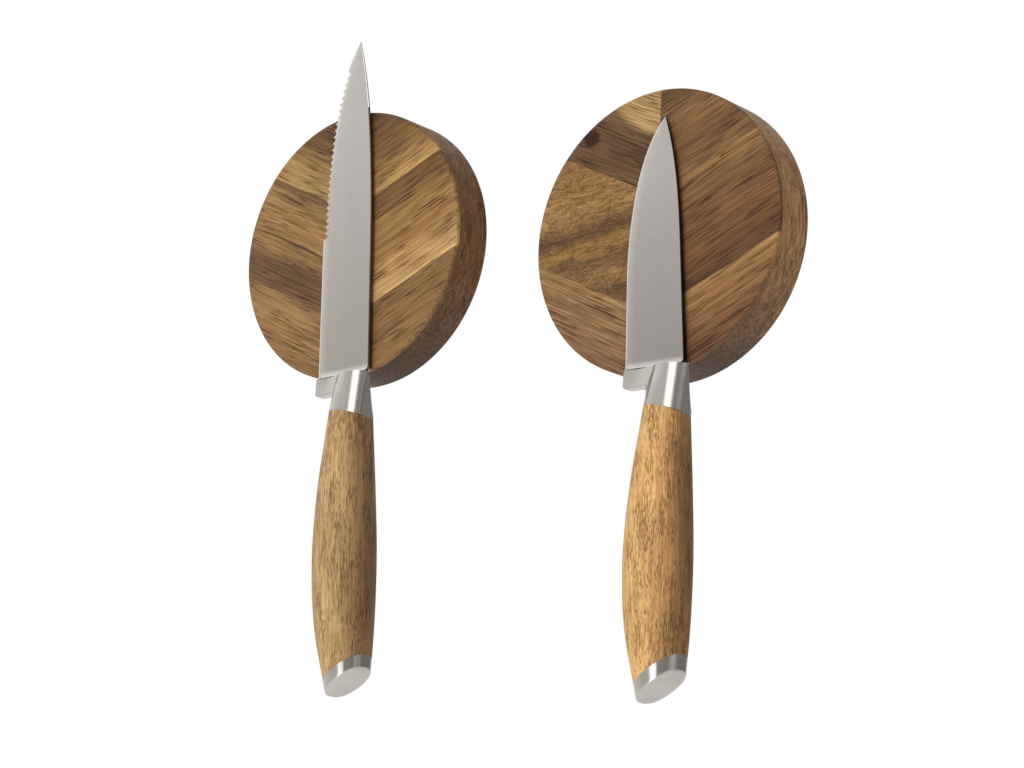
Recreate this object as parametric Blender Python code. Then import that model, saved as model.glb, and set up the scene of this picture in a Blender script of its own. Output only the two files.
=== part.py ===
"""Two round wall holders with hidden magnets, each carrying a kitchen knife.

Metres, +Z up. The wall is the plane Y = 0 and the knives face -Y. The origin is
the middle of the left holder's mounting pad, on the wall.
"""

import math

import bmesh
import bpy
from mathutils import Matrix, Vector

# Clearances
FIT_GAP = 0.0003        # between pieces that touch
SCREW_GAP = 0.0002      # round a screw in its hole

SHARP_ANGLE = math.radians(35)      # steeper edges are shaded sharp

# Wooden disc
DISC_RADIUS = 0.050
DISC_THICKNESS = 0.018  # wall to the front of the staves
DISC_STEPS = 96
WALL_RELIEF = 0.0005    # the wood stands this far off the wall
EDGE_ROUND = 0.0006

# Laminated face: three staves on each side of a seam, rising away from it
STAVE_THICKNESS = 0.0016
STAVE_SLOPE = 0.46      # rise over run of the joints
JOINT_HEIGHTS = (-0.029, 0.0125)
STAVE_NAMES = ("lower", "middle", "upper")
STAVE_ARC_STEP = math.radians(4)

# Back recess with the steel plate and the foam pad
RECESS_RADIUS = 0.041
PLATE_THICKNESS = 0.0015
PAD_THICKNESS = 0.0015
PAD_MARGIN = 0.002      # the pad is this much smaller than the recess
BACK_STEPS = 64

# Magnets. Their thickness follows from the disc's, below.
MAGNET_RADIUS = 0.009
MAGNET_COVER = 0.0019   # wood left between their bores and the staves
MAGNET_SPACING = 0.025
MAGNET_PLACES = {"centre": (0, 0), "top": (0, 1), "bottom": (0, -1), "left": (-1, 0), "right": (1, 0)}
MAGNET_STEPS = 28

# Countersunk screws that hold the plate
SCREW_CIRCLE = 0.035
SCREW_COUNT = 4
SCREW_LENGTH = 0.009
SCREW_SHANK = 0.0013
SCREW_HEAD = 0.0028
SCREW_STEPS = 16

# Right-hand holder, from the left-hand one
RIGHT_HOLDER = (0.1363, -0.0120)    # X, Z

# Blades. A knife's own frame: X towards the spine, Y into the wall, Z towards the tip,
# with its zero on the line where blade and bolster meet.
BLADE_THICKNESS = 0.0020
TIP_THICKNESS = 0.0007
EDGE_THICKNESS = 0.0002
BEVEL_WIDTH = 0.0040
BEVEL_START = 0.85      # share of the thickness left where the bevel starts
BLADE_STEPS = 44

# Scalloped stretch of the long blade
SCALLOP_COUNT = 26
SCALLOP_DEPTH = 0.0008
SCALLOP_START = 0.053
SCALLOP_END = 0.116
SCALLOP_SETBACK = 0.0002

# Tang
TANG_WIDTH = 0.0080
TANG_THICKNESS = 0.0012
TANG_LENGTH = 0.078
TANG_CENTRE = 0.0042

# Bolster
BOLSTER_LENGTH = 0.0172     # blade to the lowest point of the bolster, on the spine side
BOLSTER_LIP = 0.0011        # half depth where it meets the blade
BOLSTER_FLAT = 0.0024       # length of that flat lip
BOLSTER_SPINE = 0.0125
NECK_EDGE = -0.0050
JOINT_SLOPE = 0.18          # the joint with the handle rises towards the cutting edge
JOINT_ARCH = 0.0010         # and by this much on both faces
HEEL_LENGTH = 0.0065
HEEL_DEPTH = 0.0021         # half depth at the lower end of the heel
HEEL_CORNER = 0.0014
HEEL_BEVEL = 0.4            # share of the half depth that its outer edge is bevelled
NECK_POWER = 8              # squareness of the lip
NECK_SWELL = 0.8            # below 1 the faces swell early
NECK_RINGS = 9
NECK_CROWDING = 1.3         # above 1 the rings are closer near the blade

# Handle: fraction along it, cutting-edge side, spine side, half depth
HANDLE_STATIONS = (
    (0.00, -0.0038, 0.0120, 0.0077),
    (0.25, -0.0076, 0.0132, 0.0092),
    (0.50, -0.0095, 0.0141, 0.0099),
    (0.75, -0.0084, 0.0138, 0.0091),
    (1.00, -0.0031, 0.0121, 0.0073),
)
HANDLE_POWER = 2.3          # 2 is an ellipse, more is squarer
HANDLE_STEPS = 36
HANDLE_RINGS = 14
CAP_EDGE = 0.0005
CAP_RINGS = 3
SPIGOT_RADIUS = 0.0040
SPIGOT_LENGTH = 0.0080
SPIGOT_STEPS = 24

# Where each knife hangs, and its own sizes. "rim" is how far the blade's foot is above
# the lowest point of the disc, and "across" is its place from the disc's middle. "handle"
# runs from the bolster to the end of the cap, which rises by "slant" times X. "heel" is X at
# the bolster's outer corner, and "edge" and "spine" are as outline_x takes them.
KNIVES = {
    "serrated": {
        "holder": "left",
        "across": 0.0015,
        "rim": 0.0007,
        "lean": math.radians(3.45),
        "handle": 0.0978,
        "cap": 0.0047,
        "slant": -0.56,
        "heel": -0.0117,
        "tip": (0.0062, 0.1263),
        "edge": (-0.0113, -0.0105, 0.040, 0.0311, (0.0135, 0.0168)),
        "spine": (0.0128, 0.0130, 0.045, 0.0304, (-0.0055, 0.0202)),
        "scalloped": True,
    },
    "paring": {
        "holder": "right",
        "across": 0.0041,
        "rim": 0.0022,
        "lean": math.radians(0.97),
        "handle": 0.0938,
        "cap": 0.0056,
        "slant": -0.62,
        "heel": -0.0132,
        "tip": (0.0006, 0.0875),
        "edge": (-0.0131, -0.0136, 0.032, 0.0125, (0.0126, 0.0119)),
        "spine": (0.0113, 0.0089, 0.036, 0.0195, (-0.0056, 0.0159)),
        "scalloped": False,
    },
}

FACE_Y = -DISC_THICKNESS
WOOD_BACK_Y = -WALL_RELIEF
CORE_FRONT_Y = FACE_Y + STAVE_THICKNESS + FIT_GAP
PLATE_BACK_Y = -PAD_THICKNESS - FIT_GAP
PLATE_FRONT_Y = PLATE_BACK_Y - PLATE_THICKNESS
RECESS_FLOOR_Y = PLATE_FRONT_Y - FIT_GAP
MAGNET_BACK_Y = RECESS_FLOOR_Y - FIT_GAP
MAGNET_THICKNESS = MAGNET_BACK_Y - (CORE_FRONT_Y + MAGNET_COVER + FIT_GAP)
MAGNET_FRONT_Y = MAGNET_BACK_Y - MAGNET_THICKNESS
KNIFE_Y = FACE_Y - FIT_GAP - BLADE_THICKNESS / 2

COLOURS = {
    # name: colour, roughness, metallic
    "core_wood": ((0.155, 0.085, 0.045), 0.60, 0.0),
    "dark_stave": ((0.200, 0.105, 0.045), 0.55, 0.0),
    "light_stave": ((0.420, 0.245, 0.095), 0.55, 0.0),
    "handle_wood": ((0.400, 0.240, 0.115), 0.50, 0.0),
    "blade_steel": ((0.560, 0.545, 0.530), 0.38, 1.0),
    "polished_steel": ((0.700, 0.690, 0.670), 0.20, 1.0),
    "zinc_steel": ((0.550, 0.550, 0.560), 0.40, 1.0),
    "magnet_ceramic": ((0.050, 0.050, 0.055), 0.60, 0.0),
    "pad_foam": ((0.060, 0.060, 0.065), 0.90, 0.0),
}


def material(name):
    """The named Principled material, made once."""
    found = bpy.data.materials.get(name)
    if found:
        return found
    colour, roughness, metallic = COLOURS[name]
    made = bpy.data.materials.new(name)
    made.use_nodes = True
    shader = made.node_tree.nodes["Principled BSDF"]
    shader.inputs["Base Color"].default_value = (*colour, 1)
    shader.inputs["Roughness"].default_value = roughness
    shader.inputs["Metallic"].default_value = metallic
    made.diffuse_color = (*colour, 1)
    return made


def add_object(name, mesh, finish, place):
    """An object from a bmesh, its faces turned outwards and shaded smooth."""
    bmesh.ops.recalc_face_normals(mesh, faces=mesh.faces)
    data = bpy.data.meshes.new(name)
    mesh.to_mesh(data)
    mesh.free()
    data.shade_smooth()
    data.set_sharp_from_angle(angle=SHARP_ANGLE)
    data.materials.append(material(finish))
    made = bpy.data.objects.new(name, data)
    bpy.context.scene.collection.objects.link(made)
    made.parent = place
    return made


def add_cutter(name, mesh, place):
    cutter = add_object(name, mesh, "zinc_steel", place)
    cutter.hide_render = True
    cutter.display_type = "WIRE"
    return cutter


def combine(target, other, operation):
    """A live Boolean of two objects."""
    step = target.modifiers.new(other.name, "BOOLEAN")
    step.operation = operation
    step.object = other


def add_empty(name, location, turn=0.0):
    empty = bpy.data.objects.new(name, None)
    empty.location = location
    empty.rotation_euler = (0, turn, 0)
    bpy.context.scene.collection.objects.link(empty)
    return empty


def loft(rings, mesh=None):
    """Skin over rings of equally many points, closed by a flat face at each end."""
    mesh = mesh or bmesh.new()
    rows = [[mesh.verts.new(point) for point in ring] for ring in rings]
    for first, second in zip(rows, rows[1:]):
        for i in range(len(first)):
            j = (i + 1) % len(first)
            mesh.faces.new((first[i], first[j], second[j], second[i]))
    mesh.faces.new(rows[0])
    mesh.faces.new(rows[-1])
    return mesh


def turned(profile, steps, centre=(0, 0), mesh=None):
    """A solid turned about a line along Y through centre (X, Z); profile is (radius, y)
    from one end of the solid to the other."""
    angles = [2 * math.pi * i / steps for i in range(steps)]
    rings = [
        [(centre[0] + r * math.cos(a), y, centre[1] + r * math.sin(a)) for a in angles]
        for r, y in profile
    ]
    return loft(rings, mesh)


def hermite(points, x):
    """Height at x of the smooth curve through points (x, height), which may run past its ends."""
    last = len(points) - 2
    i = min(max(sum(1 for p in points[1:-1] if x >= p[0]), 0), last)

    def slope(k):
        low, high = max(k - 1, 0), min(k + 1, last + 1)
        return (points[high][1] - points[low][1]) / (points[high][0] - points[low][0])

    (x0, y0), (x1, y1) = points[i], points[i + 1]
    m0, m1 = slope(i) * (x1 - x0), slope(i + 1) * (x1 - x0)
    t = (x - x0) / (x1 - x0)
    if t > 1:
        return y1 + m1 * (t - 1)
    return (
        (2 * t**3 - 3 * t**2 + 1) * y0
        + (t**3 - 2 * t**2 + t) * m0
        + (3 * t**2 - 2 * t**3) * y1
        + (t**3 - t**2) * m1
    )


# Holder ---------------------------------------------------------------------------------


def rim_angle(side, height, radius):
    """Angle at which a stave joint crosses the rim: the joint is z = height + slope * |x|."""
    k = STAVE_SLOPE
    x = (-k * height + math.sqrt((1 + k * k) * radius**2 - height**2)) / (1 + k * k)
    return math.atan2(height + k * x, side * x)


def stave_outline(side, index, radius, count):
    """Points round one stave, in X and Z: up the seam, then back along the rim."""
    seam = FIT_GAP / 2
    clear = seam * math.sqrt(1 + STAVE_SLOPE**2)
    low = None if index == 0 else JOINT_HEIGHTS[index - 1] + clear
    high = None if index == len(JOINT_HEIGHTS) else JOINT_HEIGHTS[index] - clear
    seam_angle = math.acos(side * seam / radius)
    start = -seam_angle if low is None else rim_angle(side, low, radius)
    end = seam_angle if high is None else rim_angle(side, high, radius)
    if side < 0:
        start, end = start % (2 * math.pi), end % (2 * math.pi)
    arc = [start + (end - start) * i / count for i in range(count + 1)]
    points = [(radius * math.cos(a), radius * math.sin(a)) for a in arc]
    if high is not None:
        points.append((side * seam, high + STAVE_SLOPE * seam))
    if low is not None:
        points.append((side * seam, low + STAVE_SLOPE * seam))
    return points


def make_stave(side, index, name, finish, place):
    """One stave of the laminated face, with a rounded outer edge."""
    corner = EDGE_ROUND * (1 - math.sqrt(0.5))
    layers = (
        (FACE_Y + STAVE_THICKNESS, DISC_RADIUS),
        (FACE_Y + EDGE_ROUND, DISC_RADIUS),
        (FACE_Y + corner, DISC_RADIUS - corner),
        (FACE_Y, DISC_RADIUS - EDGE_ROUND),
    )
    count = round(math.pi / len(STAVE_NAMES) / STAVE_ARC_STEP)
    rings = [
        [(x, y, z) for x, z in stave_outline(side, index, radius, count)]
        for y, radius in layers
    ]
    add_object(name, loft(rings), finish, place)


def magnet_centres():
    return {name: (x * MAGNET_SPACING, z * MAGNET_SPACING) for name, (x, z) in MAGNET_PLACES.items()}


def screw_centres():
    """Between the magnets, on a circle."""
    turns = [math.pi * (2 * i + 1) / SCREW_COUNT for i in range(SCREW_COUNT)]
    return [(SCREW_CIRCLE * math.cos(a), SCREW_CIRCLE * math.sin(a)) for a in turns]


def head_profile(gap):
    """Countersunk head and shank, from the head's flat to the shank's end."""
    cone = SCREW_HEAD - SCREW_SHANK
    flat = PLATE_BACK_Y
    return [
        (SCREW_HEAD + gap, flat),
        (SCREW_SHANK + gap, flat - cone),
        (SCREW_SHANK + gap, flat - SCREW_LENGTH - gap),
    ]


def make_core(name, place):
    """The solid wooden disc: a recess at the back, blind bores for the magnets and screws."""
    profile = [
        (DISC_RADIUS, CORE_FRONT_Y),
        (DISC_RADIUS, WOOD_BACK_Y - EDGE_ROUND),
        (DISC_RADIUS - EDGE_ROUND, WOOD_BACK_Y),
        (RECESS_RADIUS, WOOD_BACK_Y),
        (RECESS_RADIUS, RECESS_FLOOR_Y),
    ]
    core = add_object(name, turned(profile, DISC_STEPS), "core_wood", place)
    bores = bmesh.new()
    above = RECESS_FLOOR_Y + FIT_GAP
    for centre in magnet_centres().values():
        bore = [(MAGNET_RADIUS + FIT_GAP, y) for y in (above, MAGNET_FRONT_Y - FIT_GAP)]
        turned(bore, MAGNET_STEPS, centre, bores)
    for centre in screw_centres():
        hole = [(SCREW_SHANK + SCREW_GAP, y) for y in (above, PLATE_BACK_Y - SCREW_LENGTH - FIT_GAP)]
        turned(hole, SCREW_STEPS, centre, bores)
    combine(core, add_cutter(name + "_bores", bores, place), "DIFFERENCE")


def make_plate(name, place):
    """Steel plate behind the magnets, with countersunk holes."""
    radius = RECESS_RADIUS - FIT_GAP
    profile = [(radius, PLATE_FRONT_Y), (radius, PLATE_BACK_Y)]
    plate = add_object(name, turned(profile, BACK_STEPS), "zinc_steel", place)
    holes = bmesh.new()
    for centre in screw_centres():
        head, neck, end = head_profile(SCREW_GAP)
        above = (head[0] + FIT_GAP, head[1] + FIT_GAP)
        turned([above, neck, (end[0], PLATE_FRONT_Y - FIT_GAP)], SCREW_STEPS, centre, holes)
    combine(plate, add_cutter(name + "_holes", holes, place), "DIFFERENCE")


def make_magnets(side, place):
    for spot, centre in magnet_centres().items():
        profile = [(MAGNET_RADIUS, MAGNET_FRONT_Y), (MAGNET_RADIUS, MAGNET_BACK_Y)]
        add_object(f"{side}_magnet_{spot}", turned(profile, MAGNET_STEPS, centre), "magnet_ceramic", place)


def make_screws(side, place):
    for number, centre in enumerate(screw_centres(), 1):
        mesh = turned(head_profile(0), SCREW_STEPS, centre)
        add_object(f"{side}_plate_screw_{number}", mesh, "zinc_steel", place)


def make_pad(name, place):
    """Self-adhesive foam pad, whose back is on the wall."""
    radius = RECESS_RADIUS - PAD_MARGIN
    add_object(name, turned([(radius, -PAD_THICKNESS), (radius, 0)], BACK_STEPS), "pad_foam", place)


def make_holder(side, centre):
    place = add_empty(f"{side}_holder", (centre[0], 0, centre[1]))
    make_core(f"{side}_disc_core", place)
    for flank, sign in (("left", -1), ("right", 1)):
        for index, level in enumerate(STAVE_NAMES):
            finish = "dark_stave" if level == "middle" else "light_stave"
            make_stave(sign, index, f"{side}_{level}_{flank}_stave", finish, place)
    make_magnets(side, place)
    make_plate(f"{side}_back_plate", place)
    make_screws(side, place)
    make_pad(f"{side}_mounting_pad", place)


# Knives ---------------------------------------------------------------------------------


def outline_x(side, tip, z):
    """X of a blade's edge or spine at height z: straight from the foot, then one cubic curve
    that turns in to the tip. side is (X at the foot, X and Z where the curve starts, length
    of the curve's first handle, and its last handle as a vector)."""
    foot, start_x, start_z, reach, (back_x, back_z) = side
    if z <= start_z:
        return foot + (start_x - foot) * z / start_z
    lean = (start_x - foot) / start_z
    run = [
        Vector((start_x, start_z)),
        Vector((start_x + lean * reach, start_z + reach)),
        Vector((tip[0] - back_x, tip[1] - back_z)),
        Vector(tip),
    ]
    low, high = 0.0, 1.0
    for _ in range(40):
        t = (low + high) / 2
        s = 1 - t
        point = run[0] * s**3 + run[1] * 3 * s * s * t + run[2] * 3 * s * t * t + run[3] * t**3
        if point.y < z:
            low = t
        else:
            high = t
    return point.x


def scallop(z):
    """How far the cutting edge is set in at height z."""
    if not SCALLOP_START <= z <= SCALLOP_END:
        return 0.0
    turns = (z - SCALLOP_START) / (SCALLOP_END - SCALLOP_START) * SCALLOP_COUNT
    across = 2 * (turns % 1) - 1
    return SCALLOP_SETBACK + SCALLOP_DEPTH * (1 - across * across)


def blade_heights(knife):
    """Heights of the blade's sections, closer where the edge is scalloped."""
    length = knife["tip"][1]
    top = length - EDGE_THICKNESS
    heights = {top * math.sin(math.pi / 2 * i / BLADE_STEPS) for i in range(BLADE_STEPS + 1)}
    if knife["scalloped"]:
        tooth = (SCALLOP_END - SCALLOP_START) / SCALLOP_COUNT
        heights = {z for z in heights if z < SCALLOP_START - tooth or z > SCALLOP_END + tooth / 2}
        heights |= {SCALLOP_START - EDGE_THICKNESS, SCALLOP_END + EDGE_THICKNESS}
        for i in range(SCALLOP_COUNT):
            heights |= {SCALLOP_START + tooth * (i + part) for part in (0.02, 0.25, 0.5, 0.75, 0.98)}
    return sorted(heights)


def blade_ring(knife, z):
    """Section of the blade: flat from the spine, then a bevel down to the cutting edge."""
    tip = knife["tip"]
    spine = outline_x(knife["spine"], tip, z)
    edge = outline_x(knife["edge"], tip, z)
    if knife["scalloped"]:
        edge += scallop(z)
    edge = min(edge, spine - EDGE_THICKNESS)
    depth = BLADE_THICKNESS + (TIP_THICKNESS - BLADE_THICKNESS) * (z / tip[1]) ** 2
    shoulder = edge + min(BEVEL_WIDTH, (spine - edge) / 2)
    ring = [(spine, depth), (shoulder, depth * BEVEL_START), (edge, EDGE_THICKNESS)]
    front = [(x, -d / 2, z) for x, d in ring]
    back = [(x, d / 2, z) for x, d in reversed(ring)]
    return front + back


def box_mesh(low, high):
    corners = [(low[0], low[1]), (high[0], low[1]), (high[0], high[1]), (low[0], high[1])]
    return loft([[(x, y, z) for x, y in corners] for z in (low[2], high[2])])


def make_blade(name, knife, place):
    blade = add_object(name, loft([blade_ring(knife, z) for z in blade_heights(knife)]), "blade_steel", place)
    half = TANG_WIDTH / 2
    root = 2 * TANG_THICKNESS
    low = (TANG_CENTRE - half, -TANG_THICKNESS / 2, -TANG_LENGTH)
    high = (TANG_CENTRE + half, TANG_THICKNESS / 2, root)
    combine(blade, add_cutter(name + "_tang", box_mesh(low, high), place), "UNION")


def tang_slot(name, place):
    """Room for the tang, all the way down to its end."""
    half = TANG_WIDTH / 2 + FIT_GAP
    deep = TANG_THICKNESS / 2 + FIT_GAP
    low = (TANG_CENTRE - half, -deep, -TANG_LENGTH - FIT_GAP)
    return add_cutter(name, box_mesh(low, (TANG_CENTRE + half, deep, FIT_GAP)), place)


def oval(low, high, half_depth, power):
    """X and Y round a squared ellipse between X = low and X = high."""
    middle, half = (low + high) / 2, (high - low) / 2
    ring = []
    for i in range(HANDLE_STEPS):
        a = 2 * math.pi * (i + 0.5) / HANDLE_STEPS
        c, s = math.cos(a), math.sin(a)
        x = middle + half * math.copysign(abs(c) ** (2 / power), c)
        y = half_depth * math.copysign(abs(s) ** (2 / power), s)
        ring.append((x, y))
    return ring


def handle_size(knife, z):
    """Edge side, spine side and half depth of the handle at depth z below the blade."""
    along = (z - BOLSTER_LENGTH) / knife["handle"]
    return [hermite([(row[0], row[i]) for row in HANDLE_STATIONS], along) for i in (1, 2, 3)]


def handle_point(knife, i, depth_of, inset=0.0):
    """Point i of a ring on the handle's surface, whose depth follows from its X and Y."""
    z = BOLSTER_LENGTH
    for _ in range(8):
        low, high, depth = handle_size(knife, z)
        x, y = oval(low + inset, high - inset, depth - inset, HANDLE_POWER)[i]
        z = depth_of(x, y)
    return x, y, -z


def joint_ring(knife, gap):
    """Where bolster and handle meet, with a gap below it."""
    _, _, spine, half = HANDLE_STATIONS[0]

    def depth_of(x, y):
        return BOLSTER_LENGTH + gap - JOINT_SLOPE * (spine - x) - JOINT_ARCH * (y / half) ** 2

    return [handle_point(knife, i, depth_of) for i in range(HANDLE_STEPS)]


def neck_rings(knife):
    """Bolster sections from the thin, square lip at the blade to the handle's oval."""
    lip = oval(NECK_EDGE, BOLSTER_SPINE, BOLSTER_LIP, NECK_POWER)
    joint = joint_ring(knife, 0)
    rings = [[(x, y, -FIT_GAP) for x, y in lip]]
    for step in range(NECK_RINGS + 1):
        rise = (step / NECK_RINGS) ** NECK_CROWDING
        ring = []
        for (x0, y0), (x1, y1, z1) in zip(lip, joint):
            down = -BOLSTER_FLAT + (z1 + BOLSTER_FLAT) * rise
            ring.append((x0 + (x1 - x0) * rise**2, y0 + (y1 - y0) * rise**NECK_SWELL, down))
        rings.append(ring)
    return rings


def heel_ring(knife, z):
    """Heel of the bolster: a thin tab towards the cutting edge, its lower corner rounded."""
    rise = max(z - BOLSTER_FLAT, 0) / (HEEL_LENGTH - BOLSTER_FLAT)
    depth = BOLSTER_LIP + (HEEL_DEPTH - BOLSTER_LIP) * rise
    over = max(z - (HEEL_LENGTH - HEEL_CORNER), 0) / HEEL_CORNER
    inset = HEEL_CORNER * (1 - math.sqrt(max(1 - over * over, 0)))
    left = knife["heel"] + inset
    right = TANG_CENTRE - TANG_WIDTH / 2 - 3 * FIT_GAP
    soft = depth * HEEL_BEVEL
    return [
        (right, -depth, -z),
        (left + soft, -depth, -z),
        (left, -depth + soft, -z),
        (left, depth - soft, -z),
        (left + soft, depth, -z),
        (right, depth, -z),
    ]


def fan_end(mesh, end):
    """Fans a loft's first or last face out from its middle, so that two arched ends a gap
    apart match."""
    mesh.faces.ensure_lookup_table()
    bmesh.ops.poke(mesh, faces=[mesh.faces[{"first": -2, "last": -1}[end]]])
    return mesh


def make_bolster(name, knife, place, slot):
    straight = HEEL_LENGTH - HEEL_CORNER
    heel_depths = [FIT_GAP, BOLSTER_FLAT, straight] + [
        straight + HEEL_CORNER * math.sin(math.pi / 2 * i / 5) for i in range(1, 6)
    ]
    bolster = add_object(name, fan_end(loft(neck_rings(knife)), "last"), "polished_steel", place)
    heel = add_cutter(name + "_heel", loft([heel_ring(knife, z) for z in heel_depths]), place)
    combine(bolster, heel, "UNION")
    combine(bolster, slot, "DIFFERENCE")


def slanted_ring(knife, end, share=1.0, inset=0.0):
    """Ring on the handle's surface, share of the way from the bolster to the slanted plane
    whose depth on the knife's centre line is end."""

    def depth_below(top):
        return lambda x, y: -top + (end + knife["slant"] * x + top) * share

    tops = [point[2] for point in joint_ring(knife, FIT_GAP)]
    return [handle_point(knife, i, depth_below(top), inset) for i, top in enumerate(tops)]


def spigot(knife, cap_top, gap):
    """The end cap's round boss, square to the handle."""
    low, high, _ = handle_size(knife, cap_top)
    middle = (low + high) / 2
    radius = SPIGOT_RADIUS + gap
    top = cap_top + knife["slant"] * middle - SPIGOT_LENGTH - gap
    bottom = cap_top + knife["slant"] * middle + knife["cap"] / 2
    angles = [2 * math.pi * i / SPIGOT_STEPS for i in range(SPIGOT_STEPS)]
    return loft([
        [(middle + radius * math.cos(a), radius * math.sin(a), -z) for a in angles]
        for z in (top, bottom)
    ])


def make_handle(name, knife, place, slot):
    joint = BOLSTER_LENGTH + knife["handle"] - knife["cap"]
    rings = [slanted_ring(knife, joint, i / HANDLE_RINGS) for i in range(HANDLE_RINGS + 1)]
    handle = add_object(name, fan_end(loft(rings), "first"), "handle_wood", place)
    combine(handle, slot, "DIFFERENCE")
    socket = add_cutter(name + "_socket", spigot(knife, joint, FIT_GAP), place)
    combine(handle, socket, "DIFFERENCE")


def make_cap(name, knife, place):
    end = BOLSTER_LENGTH + knife["handle"]
    top = end - knife["cap"] + FIT_GAP
    levels = [top + (end - CAP_EDGE - top) * i / CAP_RINGS for i in range(CAP_RINGS + 1)]
    rings = [slanted_ring(knife, level) for level in levels]
    rings.append(slanted_ring(knife, end, inset=CAP_EDGE))
    cap = add_object(name, loft(rings), "polished_steel", place)
    boss = add_cutter(name + "_boss", spigot(knife, end - knife["cap"], 0), place)
    combine(cap, boss, "UNION")


def make_knife(name, knife, holders):
    """A knife on its holder; its empty slides straight off the wall, along -Y."""
    disc_x, disc_z = holders[knife["holder"]]
    foot = (disc_x + knife["across"], KNIFE_Y, disc_z - DISC_RADIUS + knife["rim"])
    place = add_empty(f"{name}_knife", foot, -knife["lean"])
    slot = tang_slot(f"{name}_tang_slot", place)
    make_blade(f"{name}_blade", knife, place)
    make_bolster(f"{name}_bolster", knife, place, slot)
    make_handle(f"{name}_handle", knife, place, slot)
    make_cap(f"{name}_end_cap", knife, place)


def main():
    for old in list(bpy.data.objects):
        bpy.data.objects.remove(old)
    holders = {"left": (0.0, 0.0), "right": RIGHT_HOLDER}
    for side, centre in holders.items():
        make_holder(side, centre)
    for name, knife in KNIVES.items():
        make_knife(name, knife, holders)


main()
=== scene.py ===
"""Looks of the two round magnetic knife holders and their knives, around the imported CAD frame.

Metres, +Z up. The wall is the plane Y = 0 and the knives face -Y.
"""

import math

import bmesh
import bpy
from mathutils import Matrix, Vector


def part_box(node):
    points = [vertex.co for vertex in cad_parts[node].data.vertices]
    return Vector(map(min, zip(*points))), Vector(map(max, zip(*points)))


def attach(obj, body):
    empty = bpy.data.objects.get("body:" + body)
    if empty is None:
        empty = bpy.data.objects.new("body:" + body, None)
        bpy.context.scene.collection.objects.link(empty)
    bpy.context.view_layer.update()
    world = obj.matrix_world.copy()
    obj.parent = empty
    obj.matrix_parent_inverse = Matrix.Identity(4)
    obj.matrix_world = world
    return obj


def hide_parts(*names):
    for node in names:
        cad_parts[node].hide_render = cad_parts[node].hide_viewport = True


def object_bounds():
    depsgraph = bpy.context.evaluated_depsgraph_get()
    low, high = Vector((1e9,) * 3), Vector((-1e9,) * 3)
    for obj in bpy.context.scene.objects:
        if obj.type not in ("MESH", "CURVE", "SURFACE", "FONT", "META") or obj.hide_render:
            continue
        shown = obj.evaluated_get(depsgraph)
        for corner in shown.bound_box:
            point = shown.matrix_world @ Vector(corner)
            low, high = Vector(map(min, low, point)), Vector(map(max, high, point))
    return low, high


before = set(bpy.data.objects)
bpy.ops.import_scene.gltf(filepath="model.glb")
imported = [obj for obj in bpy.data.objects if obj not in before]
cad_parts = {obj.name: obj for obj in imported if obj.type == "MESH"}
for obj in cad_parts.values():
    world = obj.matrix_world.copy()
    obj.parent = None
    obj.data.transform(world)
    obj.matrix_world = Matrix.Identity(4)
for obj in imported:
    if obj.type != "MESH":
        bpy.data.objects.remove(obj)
CAD_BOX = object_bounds()

# Sizes of the wooden discs
STAVE_THICKNESS = 0.0016
STAVE_SLOPE = 0.46              # rise over run of the joints
GRAIN_ANGLE = math.atan(STAVE_SLOPE)
JOINT_HEIGHTS = (-0.029, 0.0125)
HAIRLINE = 0.00002              # what shows of a glued joint
FACE_ROUND = 0.0009
BACK_ROUND = 0.0012
RECESS_RADIUS = 0.041
RECESS_LIP = 0.0004             # chamfer round the recess
RECESS_GAP = 0.0003             # between its floor and the plate
PAD_SOFT = 0.0004
SCREW_HEAD = 0.0028             # its radius
ARC_STEP = math.radians(1.5)

# Knives, in a frame of their own: X towards the spine, Y into the wall, Z towards the tip,
# with zero on the line where blade and bolster meet
BLADE_HALF = 0.0010
TIP_HALF = 0.00035
TIP_CUT = 0.00005               # how far short of its point the blade ends
TIP_WIDTH = 0.00008             # least width of the blade
EDGE_HALF = 0.00004
BEVEL_WIDTH = 0.0040
HONED_WIDTH = 0.0009
SPINE_CHAMFER = 0.00025
FOOT_CORNER = 0.0012            # rounded corner of the spine at the bolster
RAMP_LENGTH = 0.0026            # hollow where the blade thickens into the bolster
RAMP_RISE = 0.00070
TANG = (0.0002, 0.0082, 0.0006)             # low X, high X, half thickness
TANG_LENGTH = 0.078
BLADE_GAP = 0.0003              # as in the CAD, between blade and face
SEAT_GAP = 0.00003              # between the pieces of a knife
SEAM = 0.00012                  # the line that shows between blade and bolster

BOLSTER_LENGTH = 0.0172
BOLSTER_HALF = 0.0013
BOLSTER_FLAT = 0.0003
BOLSTER_SPINE = 0.0125
NECK_EDGE = -0.0050
LIP_POWER = 3                   # squareness of the thin end at the blade
SPINE_FLAT = 0.0001             # ground off the spine side, which leaves a flat facet there
SPINE_FULLNESS = 0.045
NECK_DROP = 0.0022              # how far the bolster's front sinks back from joint to lip
NECK_HOLLOW = 0.0027            # and how much more it sinks towards the heel
NECK_SOFT = 0.0014              # and how softly it runs into the thin lip
NECK_CREST = 0.4                # share of its half width where its front stands highest
BACK_SWELL = 1.1                # its back swells late, to clear the disc
NECK_STEPS = 22
JOINT_SLOPE = 0.18
JOINT_ARCH = 0.0010
HEEL_LENGTH = 0.0067
HEEL_HALF = 0.0021
HEEL_CORNER = 0.0014
HEEL_INSET = 0.00004            # keeps its faces off the lip's
HEEL_FLAT = 0.0050              # of its width, before it swells into the bolster
HEEL_SWELL = 0.0014             # of its back, inside the bolster
HEEL_BULGE = 0.0003             # of its back, where the swell starts
HEEL_EASE = 0.45                # radius of its left edges, as a share of its half thickness
HEEL_REACH = 0.0050             # how far right it goes inside the bolster
HEEL_POWER = 1.3
HEEL_CREST = 0.0050             # half thickness of its front there, at the top
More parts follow.
